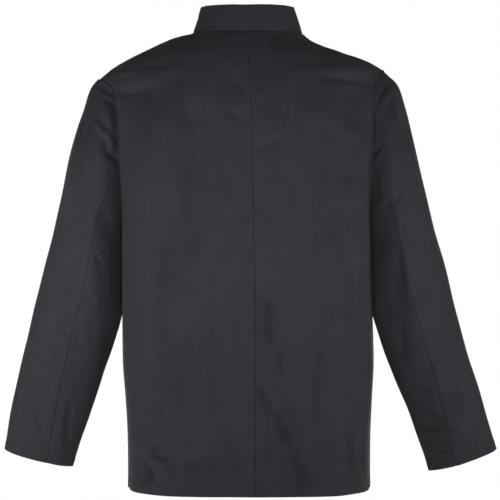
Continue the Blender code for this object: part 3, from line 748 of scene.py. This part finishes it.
OUTER_POWER = 0.82  # below 1 the back of the sleeve is squarer than an oval towards its outer edge
INNER_POWER = {"left": 1.25, "right": 1.50}  # above 1 it is flatter than an oval towards its inner edge
FLATTENED = (0.12, 0.25)  # share of the way down at which that starts, and over which it comes
CREASED_ROUND = 1.25  # creases behind and in front fade out by the sine of the angle round times this
SLEEVE_SLACK = 1.5  # how much slacker the cloth is than in the body
SET_IN = 0.002  # width below the armhole within which the cloth keeps to the seam
# Where the inner side lies against the body, as the start and the width of each rise: by less the cosine
# of the angle round, and by less the share of the way down.
INNER_SIDE, ABOVE_WAIST = (0.75, 0.2), (-0.68, 0.12)
DOWN_STEPS, UPPER_STEPS, UNDER_STEPS = 210, 96, 54

SLEEVE_CREASES = {
    ("left", "behind"): [
        # under the shoulder tip and down the armhole
        (252, -74, 209, -106, 5, 8.5, -7.1), (217, -96, 210, -160, 1, 5, -6),
        (214, -145, 210, -226, 0, 5.5, -4.5), (243, -108, 212, -124, -3, 4.2, -4.2),
        (248, -96, 218, -112, -2, 4.9, 2.7), (250, -137, 216, -169, -2, 4.2, -2.5),
        (256, -146, 222, -180, -2, 4.2, 2.5), (230, -168, 220, -208, 4, 5.6, -6.3),
        (227, -197, 208, -210, 0, 4.5, -6), (221, -174, 213, -195, 0, 4.2, 3.6),
        # the upper arm
        (268, -130, 297, -345, 3, 3.8, 5.6), (265, -145, 272, -250, 0, 4, -4.5),
        (259, -150, 263, -230, 0, 4, 3.6), (236, -283, 224, -333, 0, 9.7, -3),
        (247, -356, 234, -384, 2, 4.9, -3),
        # elbow to cuff
        (300, -372, 262, -388, 2, 6.5, -2.4), (270, -402, 250, -442, 2, 7, -2.4),
        (322, -462, 298, -540, 3, 8.5, -2.7), (276, -486, 262, -528, 2, 6, -2.5),
        (346, -470, 336, -560, 3, 8, 2.1), (358, -588, 322, -644, 3, 8, -3.2),
        (348, -618, 330, -664, 2, 5, -2.4), (378, -590, 360, -672, 3, 7.5, 2.3),
        (284, -590, 298, -682, 2, 5.8, -3.3), (298, -600, 310, -672, 0, 5.5, 2.1),
    ],
    ("right", "behind"): [
        # under the shoulder tip and down the armhole
        (-241, -74, -206, -129, 5, 3, -2.1), (-247, -83, -214, -138, 6, 5, 1.8),
        (-202, -126, -199, -207, 0, 5.5, -5.1), (-216, -184, -194, -213, 0, 5.2, -4.2),
        (-199, -213, -209, -252, 0, 5.5, -4.5), (-207, -246, -214, -281, 0, 4.9, -3.9),
        # the upper arm
        (-251, -113, -225, -184, 3, 9.7, 3.4), (-263, -170, -294, -353, 4, 4.2, 5),
        (-261, -194, -285, -307, 4, 4.2, -2.4), (-251, -249, -240, -278, 0, 7.3, -3),
        (-246, -272, -214, -292, 2, 7.5, -1.9),
        # elbow to cuff
        (-240, -352, -254, -452, 2, 11, -4.8), (-233, -385, -252, -462, 5, 7.3, -2.4),
        (-240, -436, -264, -464, -3, 4.8, -2.4), (-248, -466, -254, -536, 0, 8.1, -3.3),
        (-304, -486, -316, -530, 0, 8, -2.1), (-288, -548, -308, -541, 0, 4.2, -2.1),
        (-250, -570, -304, -600, -4, 5.8, -3.6), (-258, -585, -312, -616, -3, 4.8, 2.4),
        (-262, -606, -326, -634, 3, 5.2, -3.6), (-330, -560, -352, -612, 2, 8.5, -2.4),
        (-346, -592, -372, -640, 2, 8, 1.9), (-270, -640, -344, -645, 2, 5, -3.7),
        (-274, -652, -336, -657, 2, 4.4, 2.4), (-286, -664, -350, -669, 2, 4.6, -3),
        (-298, -684, -332, -682, 0, 3.8, -2.3),
    ],
    ("left", "in front"): [
        (242, -104, 216, -152, 3, 7, -5.4), (228, -150, 212, -226, 2, 6.5, -4.5),
        (248, -168, 222, -232, 3, 8, 2), (262, -230, 236, -330, 3, 9, -2.7),
        (284, -402, 236, -430, 4, 8, -5.1), (290, -432, 242, -470, 4, 7.5, -4.5),
        (294, -418, 250, -450, 3, 7, 3), (312, -470, 268, -520, 3, 8, -3.6),
        (330, -560, 300, -602, 2, 7, -2.7), (346, -616, 312, -650, 2, 6, -2.7),
    ],
    ("right", "in front"): [
        (-236, -98, -208, -146, -3, 7, -5.1), (-222, -152, -204, -224, -2, 6.5, -4.5),
        (-248, -180, -220, -246, -3, 8, 2.7), (-262, -250, -234, -344, -3, 9, -3.3),
        (-280, -396, -232, -424, -4, 8, -4.8), (-286, -430, -238, -462, -4, 7.5, -4.5),
        (-290, -412, -246, -444, -3, 7, 2.7), (-306, -474, -266, -516, -3, 8, -3.6),
        (-328, -566, -296, -600, -2, 7, -2.7), (-350, -626, -318, -658, -2, 6, -2.7),
    ],
}


def ring(side, along, angle):
    """Oval rings from the table: middle + half its width × cos a + half its depth × sin a, tipped. Behind,
    below the armhole, the cosine and the sine are raised to a power that flattens the cloth."""
    place = along * SLEEVE[-1].number
    lengths = ["y", "half_depth"] + [f"{side}_{name}" for name in ("out_x", "out_z", "in_x", "in_z")]
    read = (spline(SLEEVE, "number", name, place) / 1000 for name in lengths)
    y, half_depth, out_x, out_z, in_x, in_z = read
    outer, inner = points_of(out_x, y, out_z), points_of(in_x, y, in_z)
    tip = np.radians(spline(SLEEVE, "number", "tip", place))
    behind = points_of(0.0, np.cos(tip), -np.sin(tip)) * half_depth[..., None]
    cos, sin = np.cos(angle), np.sin(angle)
    power = np.where(cos > 0, OUTER_POWER, INNER_POWER[side])
    power = 1 + (power - 1) * (sin > 0) * rising(along, *FLATTENED)
    across, back = ((np.sign(one) * np.abs(one) ** power)[..., None] for one in (cos, sin))
    return (outer + inner) / 2 + (outer - inner) / 2 * across + behind * back


def sleeve(side, along, angle):
    """The rings, bent at the top to the armhole's own shape. along is 0 at the armhole, 1 at the cuff."""
    turned = (angle + pi) % (2 * pi) - pi
    hole = armhole(side, np.sign(turned), 1 - np.abs(turned) / pi)
    bend = hole - ring(side, np.zeros_like(along), turned)
    kept = 1 - ease(along / ARMHOLE_REACH)
    return ring(side, along, turned) + bend * kept[..., None]


def facing_round(points, side):
    """The outward facing of a grid of closed rings, whose last column repeats the first."""
    closed = np.concatenate([points[:, -2:-1], points, points[:, 1:2]], axis=1)
    return facing_of(closed)[:, 1:-1] * outward(side)


def at_place(grid, key, value):
    """In each row of a grid, what it holds where the key passes a value, between grid points."""
    index = np.argmax(key > value, axis=1)
    row = np.arange(len(grid))
    before, after = key[row, index - 1], key[row, index]
    t = ((value - before) / (after - before))[:, None]
    return grid[row, index - 1] * (1 - t) + grid[row, index] * t


cuffs = {}
down = crowded(DOWN_STEPS, 2, 0.5)
for side in ("left", "right"):
    place = down[:, None] * SLEEVE[-1].number
    elbow, fore = (np.radians(spline(SLEEVE, "number", name, place)) for name in ("elbow", "fore"))
    upper = -fore + (elbow + fore) * crowded(UPPER_STEPS, 2, 0.5)[:-1]
    under = elbow + (2 * pi - fore - elbow) * crowded(UNDER_STEPS, 2, 0.4)
    angle = np.concatenate([upper, under], axis=1)
    along = down[:, None] + np.zeros_like(angle)
    grid = sleeve(side, along, angle)
    move = creased(grid, SLEEVE_CREASES[side, "behind"]) * ease(CREASED_ROUND * np.sin(angle))
    move += creased(grid, SLEEVE_CREASES[side, "in front"]) * ease(-CREASED_ROUND * np.sin(angle))
    move += slack(grid[..., 0] + 0.4 * grid[..., 1], grid[..., 2]) * SLEEVE_SLACK
    length = run_of(grid, 0)
    against = rising(-np.cos(angle), *INNER_SIDE) * rising(-along, *ABOVE_WAIST)
    move = (move * (1 - against) + TO_BODY[side] * against) * ease(length / SET_IN)
    grid = grid + facing_round(grid, side) * move[..., None]
    run, length = run_of(grid, 1), run_of(grid, 0)
    to_elbow = run - run[:, UPPER_STEPS : UPPER_STEPS + 1]
    to_fore = np.minimum(run, run[:, -1:] - run)
    height = length[-1:] - length
    move = turned_under(length) + turned_under(np.abs(to_elbow)) * (to_elbow < 0) + turned_under(run)
    move += puckered(length, to_elbow) * 0.4 + puckered(run, length) * 1.3 + hemmed(height, run)
    move = sewn_down(move, to_elbow, to_fore, length) * (1 - against)
    grid = grid + facing_round(grid, side) * move[..., None]
    thick = doubled(height)
    cuffs[side] = grid
    uv = np.stack([run - at_place(run[..., None], angle, 0.0), height], axis=-1)
    turn = slice(None, None, outward(side))
    for part, columns in (("upper", slice(0, UPPER_STEPS + 1)), ("under", slice(UPPER_STEPS, None))):
        points, place_in, deep = (one[:, columns][:, turn] for one in (grid, uv, thick))
        name = f"sleeve_{side}_{part}"
        sewn_piece(name + "_twill", name, points, place_in, deep, ("last row",), TWILL)


# ---- The collar
# A stand collar of two layers of the twill with a stiffener between them. It stands on the neckline and
# its ends, rounded at the corners, meet at the front. Two rows of stitches run along its foot.

COLLAR_HEIGHT = 0.0435
COLLAR_LEAN = 0.155  # share by which its top edge is smaller than its foot
COLLAR_CORNER = 0.015  # radius of its two front corners
COLLAR_END = 0.0025  # half the space between its ends
COLLAR_THICK = 0.0016
COLLAR_UP, COLLAR_HALF = 36, 70  # grid steps up it, and along the front and the back of each side
COLLAR_ROWS = [0.003, 0.008]  # heights of its rows of stitches
COLLAR_SINK = 0.00045  # depth of the groove that they draw
COLLAR_FLAT = 0.012  # height above its foot over which its waves come in

turns = []
for side in ("right", "left"):
    to_shoulder = crowded(COLLAR_HALF, 1, 0.6)
    neck = np.full_like(to_shoulder, 3)
    first = across_at(side, neck[:1], np.array([COLLAR_END]))
    front = panel(side, -1, neck, first + (1 - first) * to_shoulder)
    behind = panel(side, 1, neck, 1 - np.arange(COLLAR_HALF + 1) / COLLAR_HALF)
    turns.append(np.concatenate([front, behind[1:]]))
foot = np.concatenate([turns[0], turns[1][-2::-1]])
from_end = np.where(foot[:, 1] < NECK_Y, np.abs(foot[:, 0]) - COLLAR_END, COLLAR_CORNER)
into_corner = COLLAR_CORNER - np.clip(from_end, 0, COLLAR_CORNER)
height = COLLAR_HEIGHT - COLLAR_CORNER + np.sqrt(COLLAR_CORNER**2 - into_corner**2)
share = crowded(COLLAR_UP, 1, 0.6)[:, None] * height / COLLAR_HEIGHT
shrink = 1 - COLLAR_LEAN * share
collar = points_of(foot[:, 0] * shrink, foot[:, 1] * shrink, foot[:, 2] + COLLAR_HEIGHT * share)
run, height = run_of(collar, 1), run_of(collar, 0)
move = slack(run * 1.4, height * 3) * 0.7 * ease(height / COLLAR_FLAT)  # closer, lower waves: it is stiff
for row in COLLAR_ROWS:
    move += puckered(run, (height - row) * 2) * 0.4 - COLLAR_SINK * bell(height - row, STITCH_WIDE)
collar = raised(collar, sewn_down(move, height))
uv = np.stack([run, height], axis=-1)
free = ("last row", "first column", "last column")
sewn_piece("collar_twill", "collar", collar, uv, COLLAR_THICK, free, TWILL)


# ---- The stitching
# Lockstitch in black thread: round the hem and the cuffs, down the front's free edge and along the foot
# of the collar. Each stitch shows as a short rounded length of thread that lies in a groove.

STITCH_LENGTH, STITCH_SPACE = 0.0026, 0.0006
THREAD_RADIUS = 0.00026
STITCH_SIDES = 6
# The shape of a stitch: shares of its length, of the thread's radius, and how far it stands up.
STITCH = [
    (0.00, 0.25, -0.4),
    (0.18, 0.85, 0.3),
    (0.50, 1.00, 0.6),
    (0.82, 0.85, 0.3),
    (1.00, 0.25, -0.4),
]

THREAD = woven("black_sewing_thread", (0.030, 0.029, 0.034), 0.0006, radians(60))


def read_along(at, run, values):
    """What a path holds at each place along it, read between its points."""
    return np.stack([np.interp(at, run, column) for column in values.T], axis=-1)


def threads(name, start, end, facing):
    """A short length of thread from each start to its end, as a spindle: its middle line + radius ×
    (sideways × cos a + facing × sin a)."""
    sideways = unit(np.cross(facing, end - start))
    along, size, stand = np.array(STITCH).T[:, :, None]
    middle = start[:, None] + (end - start)[:, None] * along
    middle = middle + facing[:, None] * stand * THREAD_RADIUS
    turn = (2 * pi * np.arange(STITCH_SIDES) / STITCH_SIDES)[:, None]
    spoke = sideways[:, None, None] * np.cos(turn) + facing[:, None, None] * np.sin(turn)
    points = middle[:, :, None] + spoke * size[:, :, None] * THREAD_RADIUS
    number = np.arange(points[..., 0].size).reshape(points.shape[:3])
    after = np.roll(number, -1, axis=2)
    sides = np.stack([number[:, :-1], after[:, :-1], after[:, 1:], number[:, 1:]], axis=-1)
    first, last = number[:, 0], number[:, -1]
    caps = [first[:, [3, 2, 1, 0]], first[:, [5, 4, 3, 0]], last[:, [0, 1, 2, 3]], last[:, [0, 3, 4, 5]]]
    faces = np.concatenate([sides.reshape(-1, 4), *caps]).tolist()
    flat = points.reshape(-1, 3)
    piece = add_mesh(name, flat, faces, flat[:, [0, 2]], THREAD)


def stitched(name, lines):
    """Rows of even stitches, each line a path on the cloth and the cloth's facing along it."""
    starts, ends, facings = [], [], []
    for path, facing in lines:
        run = run_of(path, 0)
        first = np.arange(STITCH_SPACE, run[-1] - STITCH_LENGTH, STITCH_LENGTH + STITCH_SPACE)
        starts.append(read_along(first, run, path))
        ends.append(read_along(first + STITCH_LENGTH, run, path))
        facings.append(read_along(first + STITCH_LENGTH / 2, run, facing))
    threads(name, np.concatenate(starts), np.concatenate(ends), unit(np.concatenate(facings)))


def row_line(grid, height, sign=1):
    """A line along a grid at a constant height above its first row, with the facing there."""
    turned, facing = grid.swapaxes(0, 1), (facing_of(grid) * sign).swapaxes(0, 1)
    rise = run_of(grid, 0).T
    return at_place(turned, rise, height), unit(at_place(facing, rise, height))


def edge_line(grid, distance):
    """A line up a grid at a constant distance from its last column, with the facing there."""
    turned, facing = grid[:, ::-1], facing_of(grid)[:, ::-1]
    run = run_of(turned, 1)
    return at_place(turned, run, distance), unit(at_place(facing, run, distance))


halves = (back[:, :BACK_STEPS], back[:, BACK_STEPS + 1 :])
stitched("hem_stitching_back", [row_line(half_back, HEM_DEEP) for half_back in halves])
stitched("front_edge_stitching", [edge_line(fronts["left"], EDGE_TURNING)])
for side in ("left", "right"):
    stitched(f"hem_stitching_front_{side}", [row_line(fronts[side], HEM_DEEP)])
    cuff = cuffs[side][::-1, :: outward(side)]
    stitched(f"cuff_stitching_{side}", [row_line(cuff, HEM_DEEP, -1)])
stitched("collar_stitching", [row_line(collar, height) for height in COLLAR_ROWS])


# ---- The buttons
# Ten round four-hole buttons of black plastic with a raised rim, in two columns, and each is sewn on
# with two bars of thread. Five worked buttonholes lie under the column near the over front's edge.

BUTTON_RADIUS = 0.0090
BUTTON_RISE = 0.0024  # from the under front's face to the back of a button
HOLE_FROM_MIDDLE, HOLE_WIDTH, HOLE_DEEP = 0.00165, 0.00085, 0.0013
# A buttonhole, level across the cloth: how far it reaches from the button's middle towards the free edge
# and away from it, how far its stitches stand off its slit and reach, and how close they lie.
HOLE_TO_EDGE, HOLE_INWARD, SLIT, STITCHES_REACH, STITCHES_APART = 0.003, 0.018, 0.0002, 0.0016, 0.00046

# A button's section from the middle of its back round to the middle of its face: radius and height, in
# millimetres.
BUTTON = [
    (0, 0), (4, 0), (7.7, 0), (8.5, 0.35), (8.95, 1), (9, 1.8), (8.85, 2.7), (8.4, 3.35), (7.8, 3.6),
    (7.2, 3.45), (6.7, 3), (6.2, 2.6), (5.5, 2.4), (4.5, 2.3), (3.5, 2.27), (3, 2.26),
    *[(radius, 2.25) for radius in (2.6, 2.3, 2, 1.7, 1.4, 1.1, 0.8, 0.4, 0)],
]
BUTTON_AROUND = 72
FACE_RINGS = 9  # number of the ring at which its face begins


def plastic(name):
    """Black polyester resin: glossy, with faint turning marks round it and small scuffs."""
    material, tree, shader, place = new_material(name)
    scuffs = noise(tree, place, (700, 260), 4)
    rough = new_node(tree, "MapRange", {"Value": scuffs, "To Min": 0.30, "To Max": 0.42})
    bump = new_node(tree, "Bump", {"Strength": 0.06, "Distance": 0.0003, "Height": scuffs})
    filled(tree, shader, {
        "Base Color": (0.011, 0.011, 0.012, 1),
        "Specular IOR Level": 0.4,
        "Roughness": rough.outputs["Result"],
        "Normal": bump.outputs["Normal"],
    })
    return material


PLASTIC = plastic("black_button_resin")


def tilted(points, spot, facing):
    """Points given as (level across, up the cloth, out of the cloth), set on the cloth at a spot."""
    level = unit(np.cross([0, 0, 1], facing))
    upward = np.cross(facing, level)
    return spot + points @ np.array([level, upward, facing])


profile = np.array(BUTTON) / 1000
around = 2 * pi * np.arange(BUTTON_AROUND) / BUTTON_AROUND
radius, rise = profile[1:-1].T[:, :, None]
x, y = radius * np.cos(around), radius * np.sin(around)
on_face = (np.arange(len(profile) - 2) >= FACE_RINGS)[:, None]
# The four holes stand alike about the middle, so each point's distance to the nearest one is that of its
# mirror image in the first quarter.
from_hole = np.hypot(np.abs(x) - HOLE_FROM_MIDDLE, np.abs(y) - HOLE_FROM_MIDDLE)
dimples = 1 - rising(from_hole / HOLE_WIDTH, 0.8, 0.5)
rings = points_of(x, y, rise - HOLE_DEEP * dimples * on_face)
poles = np.array([[0, 0, profile[0, 1]], [0, 0, profile[-1, 1]]])
number = np.arange(rings[..., 0].size).reshape(rings.shape[:2])
after = np.roll(number, -1, axis=1)
sides = np.stack([number[:-1], after[:-1], after[1:], number[1:]], axis=-1).reshape(-1, 4)
back_pole, face_pole = number.size, number.size + 1
fans = np.concatenate([
    np.stack([np.full(BUTTON_AROUND, back_pole), after[0], number[0]], axis=-1),
    np.stack([np.full(BUTTON_AROUND, face_pole), number[-1], after[-1]], axis=-1),
])
button_points = np.concatenate([rings.reshape(-1, 3), poles])
unrolled = points_of(around * BUTTON_RADIUS, np.cumsum(radius, axis=0) / 8, 0.0)
button_uv = np.concatenate([unrolled.reshape(-1, 3), np.zeros((2, 3))])[:, :2]
button_faces = sides.tolist() + fans.tolist()
buttons = [(side, number) for side in ("left", "right") for number in range(1, 6)]
for (side, number), (spot, facing) in zip(buttons, spots):
    placed = tilted(button_points, spot + facing * BUTTON_RISE, facing)
    button = add_mesh(f"button_{side}_{number}_resin", placed, button_faces, button_uv, PLASTIC)
    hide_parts(f"button_{side}_{number}")

# Two pairs of threads in each button, from its lower to its upper holes.
pairs = np.array([-1.12, -0.86, 0.86, 1.12]) * HOLE_FROM_MIDDLE
low = points_of(pairs, -1.25 * HOLE_FROM_MIDDLE, 0.0024)
high = points_of(pairs, 1.25 * HOLE_FROM_MIDDLE, 0.0024)
low, high = (
    np.concatenate([tilted(row, spot + facing * BUTTON_RISE, facing) for spot, facing in spots])
    for row in (low, high)
)
threads("button_thread", low, high, np.repeat([facing for _, facing in spots], len(pairs), axis=0))


def on_cloth(grid, x, z):
    """The point of a grid in front of each x and z, in the plane of the nearest grid point, and the
    facing there."""
    points, facing = grid.reshape(-1, 3), facing_of(grid).reshape(-1, 3)
    nearest = np.hypot(x[:, None] - points[:, 0], z[:, None] - points[:, 2]).argmin(axis=1)
    points, facing = points[nearest], facing[nearest]
    beside = (x - points[:, 0]) * facing[:, 0] + (z - points[:, 2]) * facing[:, 2]
    return points_of(x, points[:, 1] - beside / facing[:, 1], z), facing


# Stitches close together above and below each slit, and four across it at both of its ends.
near_edge = fronts["left"][:, OWN_STEPS:]
places = np.arange(-HOLE_TO_EDGE, HOLE_INWARD, STITCHES_APART)
ends = np.array([-HOLE_TO_EDGE, HOLE_INWARD])[:, None] + np.array([-2, -1, 1, 2]) * STITCHES_APART / 2
over = np.concatenate([places, places, ends.ravel()])
above = np.ones_like(places)
from_slit = np.concatenate([above * SLIT, -above * SLIT, np.full(ends.size, -STITCHES_REACH)])
reach = np.concatenate([above, -above, np.ones(ends.size)]) * STITCHES_REACH
holes = [spot for spot, _ in spots[5:]]
x = np.concatenate([hole[0] + over for hole in holes])
low, facing = on_cloth(near_edge, x, np.concatenate([hole[2] + from_slit for hole in holes]))
high, _ = on_cloth(near_edge, x, np.concatenate([hole[2] + reach for hole in holes]))
threads("buttonhole_stitches", low, high, facing)


# ---- The floor, the light and the camera
# A plain white floor under the jacket, and soft boxes that stand low round it: a wide one straight behind,
# two in front, one on each side behind, one by the right side and a narrow one close by the left sleeve.
# Little light comes from above. The camera stands behind, level with the middle of the jacket.

floor_mesh = bpy.data.meshes.new("floor")
floor_mesh.from_pydata([(-1.3, -0.75, 0), (1.3, -0.75, 0), (1.3, 1.3, 0), (-1.3, 1.3, 0)], [], [(0, 1, 2, 3)])
floor = bpy.data.objects.new("floor", floor_mesh)
floor.location = (0, 0, -0.87)
bpy.context.scene.collection.objects.link(floor)
paper = bpy.data.materials.new("white_paper")
paper.use_nodes = True
filled(paper.node_tree, paper.node_tree.nodes["Principled BSDF"], {
    "Base Color": (0.90, 0.90, 0.90, 1),
    "Roughness": 0.9,
    "Emission Color": (1, 1, 1, 1),
    "Emission Strength": 0.35,
})
floor_mesh.materials.append(paper)
floor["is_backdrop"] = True

world = bpy.data.worlds.new("studio")
bpy.context.scene.world = world
world.use_nodes = True
sky = world.node_tree
split = new_node(sky, "SeparateXYZ", {"Vector": sky.nodes.new("ShaderNodeTexCoord").outputs["Generated"]})
level = new_node(sky, "ValToRGB", {"Fac": split.outputs["Z"]})
low, high = level.color_ramp.elements
low.position, high.position = 0.10, 0.80
low.color, high.color = (0.25, 0.25, 0.26, 1), (0.02, 0.02, 0.022, 1)
# The camera sees plain white behind the jacket.
MIX_A, MIX_B, MIX_RESULT = 6, 7, 2  # numbers of a Mix node's colour sockets: other sockets share their names
screen = sky.nodes.new("ShaderNodeMix")
screen.data_type = "RGBA"
filled(sky, screen, {
    "Factor": sky.nodes.new("ShaderNodeLightPath").outputs["Is Camera Ray"],
    MIX_A: level.outputs["Color"],
    MIX_B: (1, 1, 1, 1),
})
filled(sky, sky.nodes["Background"], {"Color": screen.outputs[MIX_RESULT], "Strength": 1.0})

LAMPS = table(
    "name place aim wide high power",
    ("soft_box_left_behind", (1.6, 2.1, -0.95), (0.0, 0.0, -0.45), 0.9, 1.2, 1.5),
    ("soft_box_behind", (0.1, 3.2, -1.10), (0.0, 0.0, -0.45), 1.8, 1.0, 70),
    ("soft_box_right_behind", (-1.8, 1.9, -0.90), (0.0, 0.0, -0.45), 0.8, 1.2, 12),
    ("soft_box_left", (0.78, 0.42, -0.42), (0.32, 0.0, -0.42), 0.2, 1.1, 3.3),
    ("soft_box_right", (-2.3, 0.5, -0.55), (0.0, 0.0, -0.40), 0.7, 1.4, 15),
    ("soft_box_left_in_front", (0.55, -2.9, -0.40), (0.0, 0.0, -0.40), 1.0, 1.2, 34),
    ("soft_box_right_in_front", (-0.70, -2.8, -0.45), (0.0, 0.0, -0.40), 0.8, 1.2, 24),
)
for lamp in LAMPS:
    light = bpy.data.lights.new(lamp.name, "AREA")
    light.shape = "RECTANGLE"
    light.size, light.size_y = lamp.wide, lamp.high
    light.energy = lamp.power
    box = bpy.data.objects.new(lamp.name, light)
    box.location = lamp.place
    box.rotation_euler = (Vector(lamp.aim) - Vector(lamp.place)).to_track_quat("-Z", "Y").to_euler()
    bpy.context.scene.collection.objects.link(box)

# A long lens, far enough off to take in a width of 0.825 m at the jacket's middle.
camera = bpy.data.objects.new("camera", bpy.data.cameras.new("camera"))
camera.data.sensor_width = 36
camera.data.lens = 151
camera.location = (-0.0028, 3.46, -0.356)
camera.rotation_euler = (radians(90), 0, radians(180))
bpy.context.scene.collection.objects.link(camera)
bpy.context.scene.camera = camera
bpy.context.scene.view_settings.view_transform = "Standard"

low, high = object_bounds()
